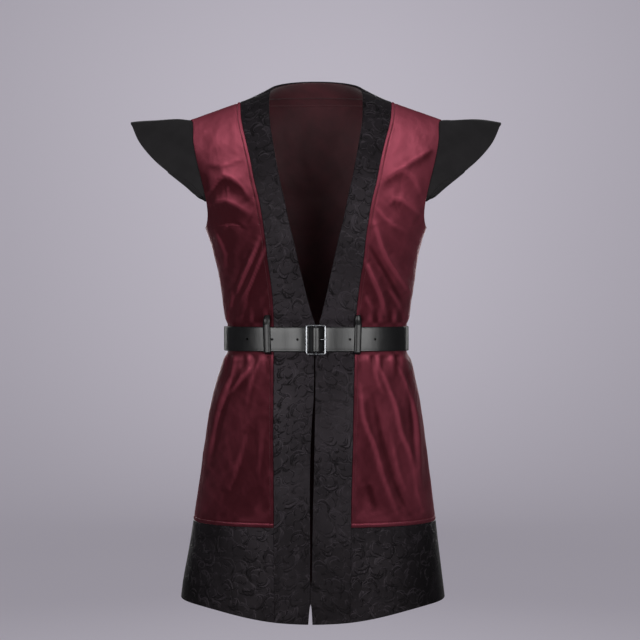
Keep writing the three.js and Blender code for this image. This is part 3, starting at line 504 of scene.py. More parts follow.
def velvet_material():
    n = Nodes("velvet")
    place = n.place()
    brushed = n.noise(n.drawn_out(place, 0.7), 11.0, 3.0, 0.55, 0.4)
    streaks = n.noise(n.drawn_out(place, 0.16), 120.0, 3.0, 0.6)
    nap = n.noise(place, 1500.0, 2.0, 0.7)
    crease = n.noise(n.drawn_out(place, 0.5), 30.0, 2.0, 0.5, 0.3)
    # The pile leans down the cloth: a steady slope along its length turns the surface that catches light.
    # The colour also holds painted light: painted sheen where the cloth tips up, painted highlights on
    # ridges, painted shade in valleys, and painted light towards +x.
    across, _, up = n.axes(n.point())
    pile = n.total(n.times(up, PILE_SLOPE), n.times(n.less(brushed, 0.5), 0.008))
    pile_normal = n.bump(pile, 1.0, 1.0)
    facing = n.axes(n.add("ShaderNodeNewGeometry").outputs["Normal"])
    ridge = n.add("ShaderNodeAttribute")
    ridge.attribute_name = "crest"
    # Painted highlight on ridges and painted shade in valleys, read from how far the cloth stands above its
    # surroundings.
    painted_crest_shading = n.ramp(ridge.outputs["Fac"], -1.3, 1.7, -0.34, 0.5)
    patches = n.ramp(brushed, 0.38, 0.62, -0.09, 0.13)
    # Painted sheen where the cloth faces upwards, cut to a tenth below the waist.
    painted_sheen = n.times(n.ramp(facing[2], -0.08, 0.4, 0.0, 0.54), n.ramp(up, -0.46, -0.3, 0.1, 1.0))
    # Painted light: stronger towards +x, strongest over the chest, faint near the shoulders and where the
    # painted sheen is already strong.
    painted_side_light = n.times(n.ramp(across, -0.16, 0.16, 0.02, 0.34), n.less(1.0, painted_sheen))
    painted_side_light = n.times(painted_side_light, n.ramp(up, -0.31, -0.17, 1.0, 1.9))
    painted_side_light = n.times(painted_side_light, n.ramp(up, -0.15, -0.08, 1.0, 0.1))
    painted_light_and_patches = n.total(painted_sheen, patches, n.total(painted_crest_shading, painted_side_light))
    # The colour runs from the velvet's dark tone towards a pink painted highlight tone, by the painted light
    # and the random patches.
    shade = n.add("ShaderNodeVectorMath", n.mix(painted_light_and_patches, colour(39, 10, 13), colour(132, 59, 73)))
    shade.operation = "SCALE"
    n.put(shade, dict(Scale=n.total(0.82, n.times(n.total(streaks, nap), 0.18))))
    creased = n.bump(crease, 0.4, 0.005, Normal=pile_normal)
    fine = n.bump(n.total(n.times(nap, 0.6), n.times(streaks, 0.4)), 0.4, 0.0007, Normal=creased)
    return n.finish(
        Base_Color=shade.outputs[0],
        Roughness=n.ramp(brushed, 0.3, 0.7, 0.56, 0.48),
        IOR=1.8,
        Specular_IOR_Level=0.7,
        Specular_Tint=colour(255, 130, 154),
        Sheen_Weight=0.12,
        Sheen_Roughness=0.45,
        Sheen_Tint=colour(255, 130, 150),
        Normal=fine,
    )


def leaves(n, where, pitch, sway, slim, veins):
    """Curved leaves, one to a cell and each turned its own way: fill, outline with painted light on its
    upper side and painted shade on its lower side, veins and the leaf's tone.
    """
    p = n.vector("MULTIPLY", where, (1 / pitch, 1 / pitch, 1.0))
    warp = n.vector("SUBTRACT", n.noise(p, 1.1, 1.0, 0.5, output="Color"), (0.5, 0.5, 0.5))
    p = n.vector("ADD", p, n.vector("MULTIPLY", warp, (sway, sway, 0.0)))
    cells = n.add("ShaderNodeTexVoronoi", Vector=p, Scale=1.0, Randomness=0.8)
    cells.voronoi_dimensions = "2D"
    lot = n.add("ShaderNodeSeparateColor", cells.outputs["Color"]).outputs
    away = n.vector("SUBTRACT", p, cells.outputs["Position"])
    turn = n.add("ShaderNodeVectorRotate", Vector=away, Angle=n.times(lot[0], 2 * math.pi))
    turn.rotation_type = "Z_AXIS"
    arm = turn.outputs[0]
    size = n.total(0.42, n.times(lot[1], 0.16))
    inner = n.vector("LENGTH", n.vector("SUBTRACT", arm, (slim, 0.06, 0.0)))
    outside = n.less(n.vector("LENGTH", arm), size)
    edge = n.math("MAXIMUM", outside, n.less(n.times(size, 0.92), inner))
    # Painted light on the upper side of each leaf's outline and painted shade on its lower side.
    painted_edge_light = n.vector("DOT_PRODUCT", n.vector("NORMALIZE", away), (-0.5, 0.86, 0.0))
    line = n.times(n.ramp(n.math("ABSOLUTE", edge), 0.0, 0.06, 1.0, 0.0), painted_edge_light)
    fill = n.ramp(edge, -0.05, 0.0, 1.0, 0.0)
    x, y, _ = n.axes(arm)
    ribs = n.total(n.times(n.math("ARCTAN2", y, x), veins), n.times(inner, 14.0))
    vein = n.times(n.ramp(n.math("SINE", ribs), 0.35, 0.95), fill)
    return fill, line, n.times(vein, n.ramp(lot[2], 0.2, 0.4)), lot[1]


def brocade_material():
    n = Nodes("brocade")
    place = n.place()
    big, big_line, big_vein, big_tone = leaves(n, place, 0.025, 0.45, 0.2, 9.0)
    *small, small_tone = leaves(n, n.vector("ADD", place, (0.37, 0.21, 0.0)), 0.0135, 0.5, 0.17, 6.0)
    # The small leaves show only between the large ones, and all of them fade in and out over the cloth.
    small, small_line, small_vein = (n.times(item, n.less(1.0, big)) for item in small)
    clear = n.ramp(n.noise(place, 11.0, 1.0, 0.5), 0.34, 0.52, 0.2, 1.0)
    line, vein = n.total(big_line, small_line), n.math("MAXIMUM", big_vein, small_vein)
    big, small, line, vein = (n.times(item, clear) for item in (big, small, line, vein))
    leaf = n.total(n.times(big, n.less(big_tone, 0.55)), n.times(small, n.less(small_tone, 0.5)))
    up = n.axes(n.point())[2]
    grain = n.noise(n.drawn_out(place, 0.5), 700.0, 2.0, 0.6)
    tone = n.total(
        n.times(leaf, 1.1),
        n.ramp(n.noise(place, 12.0, 3.0, 0.55), 0.3, 0.7, 0.15, 0.5),
        n.times(vein, 0.6),
        # The outlines carry their painted light and painted shade into the colour.
        n.times(line, 1.5),
        # Painted shade darkens the cloth from the skirt down to the hem, and painted light lifts it from
        # just above the belt down.
        n.ramp(up, -0.8, -0.5, -0.3, 0.0),
        n.ramp(up, -0.34, -0.28, 0.14, 0.0),
        n.times(n.less(grain, 0.5), 0.4),
    )
    weave = n.add("ShaderNodeTexWave", Vector=place, Scale=420.0, Distortion=0.5, Detail=1.0).outputs["Fac"]
    height = n.total(n.times(n.math("MAXIMUM", big, small), 0.8), n.times(vein, 0.4))
    return n.finish(
        Base_Color=n.mix(tone, colour(7, 6, 7), colour(42, 38, 42)),
        Roughness=n.ramp(tone, 0.0, 1.0, 0.6, 0.44),
        Specular_IOR_Level=0.17,
        Specular_Tint=colour(255, 240, 250),
        Sheen_Weight=0.04,
        Sheen_Roughness=0.4,
        Normal=n.bump(height, 1.0, 0.0008, Normal=n.bump(weave, 0.05, 0.0002)),
    )


def woven_material(name, dark, light, sheen, roughness=0.85, scale=900.0):
    n = Nodes(name)
    place = n.place()
    wave = dict(Vector=place, Scale=scale / 6.28, Distortion=0.3)
    across, down = n.add("ShaderNodeTexWave", **wave), n.add("ShaderNodeTexWave", **wave)
    down.bands_direction = "Y"
    return n.finish(
        Base_Color=n.mix(n.ramp(n.noise(place, 30.0, 3.0, 0.6), 0.25, 0.75), dark, light),
        Roughness=roughness,
        Specular_IOR_Level=0.25,
        Sheen_Weight=sheen,
        Sheen_Roughness=0.5,
        Normal=n.bump(n.times(across.outputs["Fac"], down.outputs["Fac"]), 0.25, 0.0003),
    )


def leather_material():
    n = Nodes("belt_leather")
    place = n.place()
    cloudy = n.noise(place, 24.0, 3.0, 0.6)
    worn = n.noise(n.drawn_out(place, 0.22), 90.0, 2.0, 0.5, 0.4)
    # The gloss is broken up where the strap is seen edge on.
    edge = n.ramp(n.add("ShaderNodeLayerWeight", Blend=0.5).outputs["Facing"], 0.68, 0.94, 0.3, 0.85)
    return n.finish(
        Base_Color=n.mix(n.ramp(cloudy, 0.3, 0.7), colour(17, 17, 18), colour(23, 23, 24)),
        Roughness=n.math("MAXIMUM", n.ramp(cloudy, 0.25, 0.75, 0.30, 0.36), edge),
        Specular_IOR_Level=0.5,
        Normal=n.bump(worn, 0.35, 0.0006),
    )


def plain_material(name, dark, light, roughness, specular):
    n = Nodes(name)
    cloudy = n.noise(n.place(), 300.0, 2.0, 0.5)
    return n.finish(Base_Color=n.mix(cloudy, dark, light), Roughness=roughness, Specular_IOR_Level=specular)


def metal_material():
    n = Nodes("buckle_metal")
    worn = n.noise(n.point(), 260.0, 3.0, 0.6)
    return n.finish(
        Base_Color=n.mix(n.ramp(worn, 0.3, 0.7), colour(128, 130, 134), colour(168, 170, 174)),
        Metallic=1.0,
        Roughness=n.ramp(worn, 0.3, 0.8, 0.24, 0.36),
    )


VELVET_LOOK = velvet_material()
BROCADE_LOOK = brocade_material()
PLAIN_LOOK = woven_material("plain_cloth", colour(17, 15, 17), colour(25, 23, 25), 0.08)
RIBBON_LOOK = plain_material("ribbon", colour(10, 10, 11), colour(14, 13, 15), 0.34, 0.4)
# Painted shade: near black walls for the holes and the slot cut in the strap.
HOLE_SHADE_LOOK = plain_material("hole", colour(5, 5, 5), colour(8, 8, 8), 0.9, 0.1)
LINING_LOOK = woven_material("lining", colour(56, 20, 26), colour(70, 26, 33), 0.25, 0.6, 1400.0)
THREAD_LOOK = woven_material("thread", colour(82, 26, 38), colour(104, 38, 50), 0.4, 0.6, 5000.0)
LEATHER_LOOK = leather_material()
METAL_LOOK = metal_material()

BROCADE_PAIR, VELVET_PAIR = [BROCADE_LOOK, LINING_LOOK], [VELVET_LOOK, LINING_LOOK]
# Each cloth piece: its node, slot, looks outside and inside, wall, flat size and area in metres.
CUTS = {
    "velvet_front": ("front_velvet", "velvet", VELVET_PAIR, VELVET, (0.19, 0.72), 0.105),
    "band_front": ("front_band", "brocade", BROCADE_PAIR, BROCADE, (0.075, 0.9), 0.05),
    "hem_band_front": ("hem_front", "brocade", BROCADE_PAIR, BROCADE, (0.215, 0.15), 0.0306),
    "velvet_back": ("back_velvet", "velvet", VELVET_PAIR, VELVET, (0.46, 0.75), 0.317),
    "hem_band_back": ("hem_back", "brocade", BROCADE_PAIR, BROCADE, (0.56, 0.15), 0.077),
    "neck_band_back": ("back_neck_band", "brocade", BROCADE_PAIR, BROCADE, (0.26, 0.085), 0.014),
    "neck_facing_back": ("back_neck_facing", "lining", [LINING_LOOK], FACING, (0.24, 0.08), 0.0085),
    "shoulder_wing": ("wing", "plain_cloth", [PLAIN_LOOK], WING, (0.27, 0.125), 0.0215),
    "loop": ("belt_loop", "plain_cloth", [RIBBON_LOOK], LOOP, (0.0125, 0.085), 0.00098),
}

# ------------ making meshes


def ladder(length, step=CLOTH_STEP, start=FINE, end=FINE):
    """Shares of a length, fine at its ends and even between."""
    first, last = start[-1], length - end[-1]
    middle = np.linspace(first, last, max(2, int(round((last - first) / step)) + 1))
    return np.concatenate([start[:-1], middle, (length - end[:-1])[::-1]]) / length


def edge_distances(P):
    """Distance of each grid point from the four edges: first and last column, first and last row."""
    left, top = (np.cumsum(np.linalg.norm(np.diff(P, axis=axis), axis=-1), axis=axis) for axis in (1, 0))
    left, top = np.pad(left, ((0, 0), (1, 0))), np.pad(top, ((1, 0), (0, 0)))
    return left, left[:, -1:] - left, top, top[-1:] - top


def rolled(distance, radius=1.15):
    s = 1 - np.clip(distance / radius, 0, 1)
    return -radius * (1 - np.sqrt(np.clip(1 - s * s, 0, 1)))


def stitched(distance, at=STITCH["inset"]):
    groove = -0.75 * np.exp(-((distance - at) ** 2))
    puff = 0.55 * np.exp(-(((distance - at * 0.5) / 1.9) ** 2))
    return groove + puff


def finish_edges(P, N, roll=(1, 1, 1, 1), stitch=(0, 0, 0, 0)):
    """Rolls the chosen edges over, and sinks a puckered, stitched line along others."""
    run = P[..., 2] + P[..., 0] * 0.6
    wave = 0.12 * (np.sin(run / 3.1) + 0.7 * np.sin(run / 4.7 + 1.0))
    out = np.zeros(P.shape[:2])
    for distance, r, s in zip(edge_distances(P), roll, stitch):
        puckered = wave * np.exp(-(((distance - 7) / 7) ** 2))
        out += r * rolled(distance) + s * (stitched(distance) + puckered)
    return P + N * out[..., None]


def grid_faces(rows, columns, closed_rows=False, closed_columns=True):
    """Faces between the neighbouring points of a grid, which may close round on itself both ways."""
    i, j = np.indices((rows if closed_rows else rows - 1, columns if closed_columns else columns - 1))
    below, beside = (i + 1) % rows, (j + 1) % columns
    corners = [i * columns + j, i * columns + beside, below * columns + beside, below * columns + j]
    return np.stack(corners, -1).reshape(-1, 4)


def new_object(name, vertices, faces, looks, indices=None, uv=None, painted_crest_shading=None):
    mesh = bpy.data.meshes.new(name)
    faces = np.asarray(faces, dtype=np.int32)
    mesh.from_pydata(np.asarray(vertices) / 1000, [], faces)
    if indices is not None:
        mesh.polygons.foreach_set("material_index", indices)
    for look in looks:
        mesh.materials.append(look)
    if uv is not None:
        layer = mesh.uv_layers.new(name="cloth")
        layer.data.foreach_set("uv", uv[faces.ravel()].ravel())
    if painted_crest_shading is not None:
        layer = mesh.attributes.new("crest", "FLOAT", "POINT")
        layer.data.foreach_set("value", np.asarray(painted_crest_shading, np.float32))
    mesh.polygons.foreach_set("use_smooth", np.ones(len(faces), dtype=bool))
    mesh.validate()
    obj = bpy.data.objects.new(name, mesh)
    bpy.context.scene.collection.objects.link(obj)
    return obj


def wall(name, P, N, depth, looks, uv, painted_crest_shading=None):
    """A cloth wall: P is its outer face, and the inner face, set back along N, has the last look."""
    rows, columns = P.shape[:2]
    vertices = np.concatenate([P.reshape(-1, 3), (P - N * depth).reshape(-1, 3)])
    count = rows * columns
    outer = grid_faces(rows, columns, closed_columns=False)
    grid = np.arange(count).reshape(rows, columns)
    rims = []
    for line in (grid[0], grid[-1, ::-1], grid[::-1, 0], grid[:, -1]):
        rims.append(np.stack([line[:-1], line[1:], line[1:] + count, line[:-1] + count], -1))
    faces = np.concatenate([outer[:, (0, 3, 2, 1)], outer + count] + rims)
    indices = np.zeros(len(faces), int)
    indices[len(outer) : 2 * len(outer)] = len(looks) - 1
    facing = np.cross(P[1:, 1:] - P[:-1, :-1], P[:-1, 1:] - P[1:, :-1])
    if np.sum(facing * N[:-1, :-1]) < 0:
        faces = faces[:, ::-1]
    if painted_crest_shading is not None:
        painted_crest_shading = np.tile(painted_crest_shading.ravel(), 2)
    return new_object(name, vertices, faces, looks, indices, np.tile(uv.reshape(-1, 2), (2, 1)), painted_crest_shading)


def declare(obj, node):
    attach(obj, "root")
    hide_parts(node)


def sew(cut, P, N, side=0, start=0.0, middle=False, thin=1.0, painted_crest_shading=None):
    """Makes a cloth piece's wall, with coordinates along its rows and columns, and declares its cut."""
    node, slot, looks, thickness, flat, area = CUTS[cut]
    ending = ("", "_left", "_right")[side]
    left, right, top, _ = edge_distances(P)
    across = (left - right) / 2 if middle else left
    uv = np.stack([across + start, -top], -1) / 1000
    depth = np.broadcast_to(thickness * thin, P.shape[:2])[..., None]
    obj = wall(cut + ending, P, N, depth, looks, uv, painted_crest_shading)
    declare(obj, node + ending)


STITCHES = []


def stitch_along(P, N, edge, trim):
    """Lays thread stitches beside a grid's first column (0) or last row (3), its ends left free."""
    away, inset, length = edge_distances(P)[edge], STITCH["inset"], STITCH["length"]
    if edge == 3:
        P, N, away = (grid[::-1].swapaxes(0, 1) for grid in (P, N, away))
    points = np.array([at_run(inset, d, row) for d, row in zip(away, P)])[trim]
    normals = unit(np.array([at_run(inset, d, row) for d, row in zip(away, N)]))[trim]
    run = run_of(points)
    for mark in np.arange(STITCH["pitch"] / 2, run[-1] - length, STITCH["pitch"]):
        a, b = at_run(np.array([mark, mark + length]), run, points)
        STITCHES.append((a, b, unit(at_run(mark + length / 2, run, normals))))


def stitch_mesh(name):
    vertices, sides, radius = [], STITCH["sides"], STITCH["radius"]
    angles = 2 * math.pi * np.arange(sides)[:, None] / sides
    for a, b, out in STITCHES:
        side = np.cross(unit(b - a), out)
        ring = (side * np.cos(angles) + out * np.sin(angles)) * radius
        for share, size, lift in STITCH_RINGS:
            vertices.append(lerp(a, b, share) + out * (radius * lift - STITCH["sink"]) + ring * size)
    vertices = np.concatenate(vertices)
    starts = np.arange(len(STITCHES)) * len(STITCH_RINGS) * sides
    faces = (grid_faces(len(STITCH_RINGS), sides) + starts[:, None, None]).reshape(-1, 4)
    return new_object(name, vertices, faces, [THREAD_LOOK], uv=vertices[:, (0, 2)] / 1000)


# ------------ rows shared by neighbouring panels
ARMHOLE_V = ARMPIT_Z * (1 + np.cos(math.pi * np.linspace(1, 0, 76))) / 2
WAIST_TOP, WAIST_FOOT = -372, -450
BODICE_V = np.linspace(ARMPIT_Z, WAIST_TOP, 50)
WAIST_V = np.linspace(WAIST_TOP, WAIST_FOOT, 36)
SKIRT_FINE = (HEM_SEAM_Z + FINE)[::-1]
SKIRT_V = np.concatenate([np.linspace(WAIST_FOOT, SKIRT_FINE[0], 86), SKIRT_FINE[1:]])
UPPER_V = np.concatenate([ARMHOLE_V, BODICE_V[1:], WAIST_V[1:], SKIRT_V[1:]])[:, None]
VELVET_V = np.concatenate([UPPER_V[:-1], [[HEM_SEAM_Z + SEAM_GAP / 2]]])
PANEL_SHARES = ladder(150)[None, :]
HEM_SHARES = ladder(132)[:, None]


def panel_grid(face, turn, v):
    """A panel's outer face, kept off the plane where front and back meet."""
    P, N = cloth(face, turn, v)
    near = np.abs(P[..., 1]) < SEAM_GAP / 2
    P[..., 1] = np.where(near, face * SEAM_GAP / 2, P[..., 1])
    return P, N


def sew_velvet(cut, face, turn, side=0, stitch=(0, 0, 0, 1), middle=False):
    P, N = panel_grid(face, turn, VELVET_V)
    painted_crest_shading = crest(face, P)
    P = finish_edges(P, N, stitch=stitch)
    sew(cut, P, N, side, middle=middle, painted_crest_shading=painted_crest_shading)
    return P, N


def curl_band(P, N, side, inner_distance):
    """The free edge of a front band lifts a little and wanders below the belt."""
    z = P[..., 2]
    low = ease((WAIST_FOOT - z) / 200)
    near = np.exp(-((inner_distance / 22) ** 2))
    lift = (1.3 * low + 1.0 * ease((-740 - z) / 100)) * near
    wave = 0.5 * np.sin(z / 17.0) * low * near
    lap = 3.4 * ease((-794 - z) / 11) * ease((z - HEM_EDGE["z"]) / 8) * np.exp(-((inner_distance / 15) ** 2))
    return P + N * (lift + wave + lap * (side > 0))[..., None]


def band_relief(P, N, side):
    rng = np.random.default_rng(31 + side)
    x, z = P[..., 0], P[..., 2]
    out = np.zeros(P.shape[:2])
    for wave, rise in ((130, 0.7), (70, 0.45), (34, 0.22)):
        for _ in range(3):
            angle, phase = rng.uniform(0.6, 2.4), rng.uniform(0, 6.28)
            along = x * math.cos(angle) + z * math.sin(angle)
            out += rise / 3 * np.sin(2 * math.pi / wave * along + phase)
    return P + N * (out * clear_of_belt(z) * ease((-25 - z) / 25))[..., None]


for side in (-1, 1):
    turn = lerp(seam_turn(side, VELVET_V, SEAM_GAP / 2), side * edge_turn(VELVET_V), PANEL_SHARES)
    P, N = sew_velvet("velvet_front", -1, turn, side, stitch=(1, 0, 0, 1))
    stitch_along(P, N, 0, slice(3, -14))
    stitch_along(P, N, 3, slice(14, -3))

    shares = ladder(60, 2.6)[None, :]
    foot_turn = lerp(opening_turn(side, FOOT_Z), seam_turn(side, FOOT_Z, -SEAM_GAP / 2), shares)
    hem_v = lerp(HEM_SEAM_Z, hem_z(-1, foot_turn), HEM_SHARES[1:])
    v = np.concatenate([np.broadcast_to(UPPER_V, (len(UPPER_V), shares.size)), hem_v])
    P, N = panel_grid(-1, lerp(opening_turn(side, v), seam_turn(side, v, -SEAM_GAP / 2), shares), v)
    P = band_relief(P, N, side)
    P = curl_band(P, N, side, edge_distances(P)[0])
    at_velvet = np.where(v[:, :1] > HEM_SEAM_Z, 1.0, 0.25)
    P = finish_edges(P, N, roll=(1, at_velvet, 1, 1))
    sew("band_front", P, N, side, start=90 * side)

    edge = side * math.pi / 2
    foot_turn = lerp(seam_turn(side, FOOT_Z, SEAM_GAP / 2), edge, PANEL_SHARES)
    v = lerp(HEM_SEAM_Z - SEAM_GAP / 2, hem_z(-1, foot_turn), HEM_SHARES)
    P, N = panel_grid(-1, lerp(seam_turn(side, v, SEAM_GAP / 2), edge, PANEL_SHARES), v)
    P = finish_edges(P, N, roll=(0.25, 1, 1, 1))
    sew("hem_band_front", P, N, side, start=300 + 200 * side)

# ------------ back panel, hem and neck band
NAPE_ANGLES = np.linspace(0, math.pi / 2, 31)
NAPE_LENGTH = 48.6


def nape_turn(angle):
    return np.arcsin((NECK_BAND["half"] * np.cos(angle) / SHOULDER["half"]) ** (ROUNDNESS / 2))


NAPE_SHARES = nape_turn(NAPE_ANGLES) / (math.pi / 2)
yoke_shares = lerp(1, NAPE_SHARES[0], ladder(95, 3.2, end=PLAIN_END))
half_shares = np.concatenate([yoke_shares, NAPE_SHARES[1:-1]])
back_shares = np.concatenate([-half_shares, [0.0], half_shares[::-1]])[None, :]
P, N = sew_velvet("velvet_back", 1, back_shares * edge_turn(VELVET_V), middle=True)
stitch_along(P, N, 3, slice(3, -3))

turn = back_shares * math.pi / 2
P, N = panel_grid(1, turn, lerp(HEM_SEAM_Z - SEAM_GAP / 2, hem_z(1, turn), HEM_SHARES))
sew("hem_band_back", finish_edges(P, N), N, start=900, middle=True)


def nape_point(angle, up):
    """A point of the neck band: angle round the nape, and share of the way up from the seam to the neck."""
    depth, side = np.sin(angle), np.cos(angle)
    outer_z = -NECK_BAND["drop"] + NECK_BAND["lift"] * depth
    inner_z = NECK["rise"] * np.maximum(depth, 0) ** NECK["roll"]
    outer = np.stack([NECK_BAND["half"] * side, NECK_BAND["back"] * depth, outer_z], -1)
    inner = np.stack([NECK["half"] * side, NECK["back"] * depth, inner_z], -1)
    swell = 10 * up * (1 - up) * depth
    lean = unit(np.stack([side * 0.3, depth * 0.8, 0.5 + 0 * depth], -1))
    return lerp(outer, inner, up[..., None]) + lean * swell[..., None]


def nape_normal(angle, up):
    ahead, behind = np.minimum(angle + 0.01, math.pi), np.maximum(angle - 0.01, 0)
    along = nape_point(ahead, up) - nape_point(behind, up)
    upwards = nape_point(angle, np.minimum(up + 0.02, 1)) - nape_point(angle, np.maximum(up - 0.02, 0))
    at_end = (np.sin(angle) < 0.001)[..., None]
    return np.where(at_end, shoulder_normal(np.cos(angle)), unit(np.cross(along, upwards)))


def nape_grid(shares, off, gap):
    angles = np.concatenate([NAPE_ANGLES, math.pi - NAPE_ANGLES[:-1][::-1]])
    angle, up = np.meshgrid(angles, shares)
    up = lerp(gap / NAPE_LENGTH, 1, up)
    side = np.where(np.cos(angle) < 0, -1.0, 1.0)
    edge = shell_normal(1, side * nape_turn(np.minimum(angle, math.pi - angle)), 0 * up)
    near_seam = np.exp(-((up * NAPE_LENGTH / 3.5) ** 2))[..., None]
    N = unit(lerp(nape_normal(angle, up), edge, near_seam))
    P = nape_point(angle, up) - N * off
    P[..., 1] = np.where(np.sin(angle) < 0.01, SEAM_GAP, P[..., 1])
    return P, N


P, N = nape_grid(ladder(48, 2.6), 0.0, 0.3)
sew("neck_band_back", finish_edges(P, N), N, start=1500)
P, N = nape_grid(np.linspace(0.3, 0.985, 18), BROCADE + LAYER_GAP, 0.8)
sew("neck_facing_back", finish_edges(P, N, roll=(0.6, 0.6, 0.6, 0.6)), N, start=1800)

# ------------ shoulder wings


def wing_grid(side):
    """A wing's grid: down the front armhole's edge from the top, and up again behind it."""
    along = np.linspace(math.pi, WING_START, 44)
    share = (math.pi - along) / (math.pi - WING_START)
    v = ARMPIT_Z * (1 + np.cos(along)) / 2
    across = ladder(95, start=np.array([0.0, 1.0, 2.5]))
    s = across[None, :, None]
    rows, root_normals = [], []
    for face, order in ((-1, slice(None, None, -1)), (1, slice(1, None))):
        root, root_normal = cloth(face, side * edge_turn(v), v)
        free = np.stack([read(WING_EDGE, axis, share) for axis in "xyz"], -1) * (side, face, 1)
        reach = free - root
        reach = unit(reach - root_normal * np.sum(reach * root_normal, -1, keepdims=True))
        swell = root_normal[:, None] * (12 * s * (1 - s))
        rows.append((lerp((root + reach * WING_GAP)[:, None], free[:, None], s) + swell)[order])
        root_normals.append(root_normal[order])
    P = np.concatenate(rows)
    N = unit(np.cross(np.gradient(P, axis=0), np.gradient(P, axis=1)))
    N = np.where(N[..., 2:3] < 0, -N, N)
    near_root = np.exp(-((s * 95 / 4.0) ** 2))
    return P, unit(lerp(N, np.concatenate(root_normals)[:, None], near_root))


for side in (-1, 1):
    P, N = wing_grid(side)
    x, z = P[..., 0], P[..., 2]
    ripple = 0.8 * np.sin(x / 17 + side) * np.sin(z / 21) + 0.35 * np.sin(z / 7 + x / 13)
    P = P + N * (ripple * ease(edge_distances(P)[0] / 20))[..., None]
    P = finish_edges(P, N, roll=(1, 1.2, 1, 1))
    _, _, top, bottom = edge_distances(P)
    sew("shoulder_wing", P, N, side, thin=0.45 + 0.55 * ease(np.minimum(top, bottom) / 14))

# ------------ belt
WAIST = {name: float(read(SECTIONS, name, BELT["z"])) for name in ("half", "front", "back", "shift")}


def waist_point(degrees, off):
    """A point round the waist from the middle of the front, in plan and some way off the shell."""

    def at(value):
        turn = np.radians(value)
        depth = np.where(np.cos(turn) > 0, WAIST["front"], WAIST["back"])
        x = WAIST["shift"] - WAIST["half"] * power(np.sin(turn), 2 / ROUNDNESS)
        return np.stack([x, -depth * power(np.cos(turn), 2 / ROUNDNESS)], -1)

    point = at(degrees)
    out = square_to(unit(at(degrees + 0.5) - at(degrees - 0.5)))
    return point + np.where(np.sum(out * point, -1, keepdims=True) < 0, -out, out) * off


def front_y(x):
    return float(shell(-1, turn_of(x - WAIST["shift"], BELT["z"]), BELT["z"])[1])


def in_front(points):
    return [(x, front_y(x) - off) for x, off in points]


def turn_at(x):
    return math.degrees(float(turn_of(WAIST["shift"] - x, BELT["z"])))


def round_bar(start, end, radius, steps):
    angles = np.radians(np.linspace(start, end, steps + 1))
    return [(radius * math.cos(a), BUCKLE["off"] + radius * math.sin(a)) for a in angles]


# The strap's way through the buckle, as x and the distance in front of the shell.
THICK = BELT["thick"]
FIRST = 2 * LAYER_GAP + THICK / 2
SECOND = FIRST + THICK + LAYER_GAP
START = [(-22, 1.6), (-16, 1.6), (-11.5, 1.7), (-8.5, 2.4), (-5.6, 4), (-3, 5.7)]
RETURN = [(-6.6, 8), (-9.6, 5.4), (-13, 4.5), (-23, 4.4), (-30, 3.75), (-37, 2.75), (-43, 2.15)]
ARRIVAL = [(36, FIRST), (27, 2.1), (19, 2.9), (13.6, 4.8), (10.2, 7.6)]
start_line = smooth_line(in_front(START + round_bar(270, 420, 3.8, 7)), 1.0)
return_line = smooth_line(in_front(round_bar(60, 152, 3.8, 5) + RETURN), 1.0)
round_body = waist_point(np.linspace(turn_at(-46), 360 + turn_at(44), 260), FIRST)
over_line = return_line - square_to(unit(np.gradient(return_line, axis=0))) * (THICK + LAYER_GAP)
arrival_line = smooth_line(in_front(ARRIVAL + round_bar(8, 46, 6.9, 3)) + [tuple(over_line[0])], 1.0)
free_end = waist_point(np.linspace(turn_at(-46), 108, 90), SECOND)
parts = [start_line[:-1], return_line, round_body, arrival_line[:-1], over_line, free_end]
strap_line = np.concatenate(parts)
# Holes: x, how far the pin's middle is off the shell, and its length beyond the strap's thickness.
HOLES = (
    (-108.0, SECOND, 1.7),
    (-69.0, SECOND, 1.7),
    (-29.0, SECOND + 2, 3.3),
    (54.5, FIRST + 0.9, -0.1),
    (94.6, FIRST + 0.9, -0.1),
)


def set_normals(obj, close_ends=False):
    bm = bmesh.new()
    bm.from_mesh(obj.data)
    if close_ends:
        bmesh.ops.holes_fill(bm, edges=[edge for edge in bm.edges if edge.is_boundary], sides=0)
    bmesh.ops.recalc_face_normals(bm, faces=bm.faces)
    bm.to_mesh(obj.data)
    bm.free()


def strap_section():
    """Shares of the strap's half width and half thickness, with a pressed crease near each edge."""
    heights = np.array([1.0, 0.985, 0.955, 0.91, 0.885, 0.865, 0.84, 0.6, 0.3, 0.0])
    front = np.array([0.0, 0.6, 0.92, 1.0, 0.95, 0.95, 1.0, 1.02, 1.03, 1.03])
    back = np.array([0.0, 0.6, 0.95] + [1.0] * 7)
    heights = np.concatenate([heights, -heights[-2::-1]])
    front, back = (np.concatenate([half, half[-2::-1]]) for half in (front, back))
    return np.concatenate([np.stack([heights, -front], -1), np.stack([heights, back], -1)[-2:0:-1]])


def strap_mesh():
    """The strap on edge along its line."""
    run = run_of(strap_line)
    half = BELT["half"] * (0.35 + 0.65 * np.sqrt(np.clip((run[-1] - run) / 26, 0, 1)))
    height, depth = strap_section().T
    z = BELT["z"] + height * half[:, None]
    out = square_to(unit(np.gradient(strap_line, axis=0)))
    plan = strap_line[:, None] + out[:, None] * (depth * THICK / 2)[None, :, None]
    vertices = np.concatenate([plan, z[..., None]], -1).reshape(-1, 3)
    along = np.broadcast_to(run[:, None] / 1000, z.shape)
    uv = np.stack([along, z / 1000 + np.sign(depth) * 0.1], -1).reshape(-1, 2)
    obj = new_object("strap", vertices, grid_faces(*z.shape), [LEATHER_LOOK], uv=uv)
    set_normals(obj, close_ends=True)
    return obj


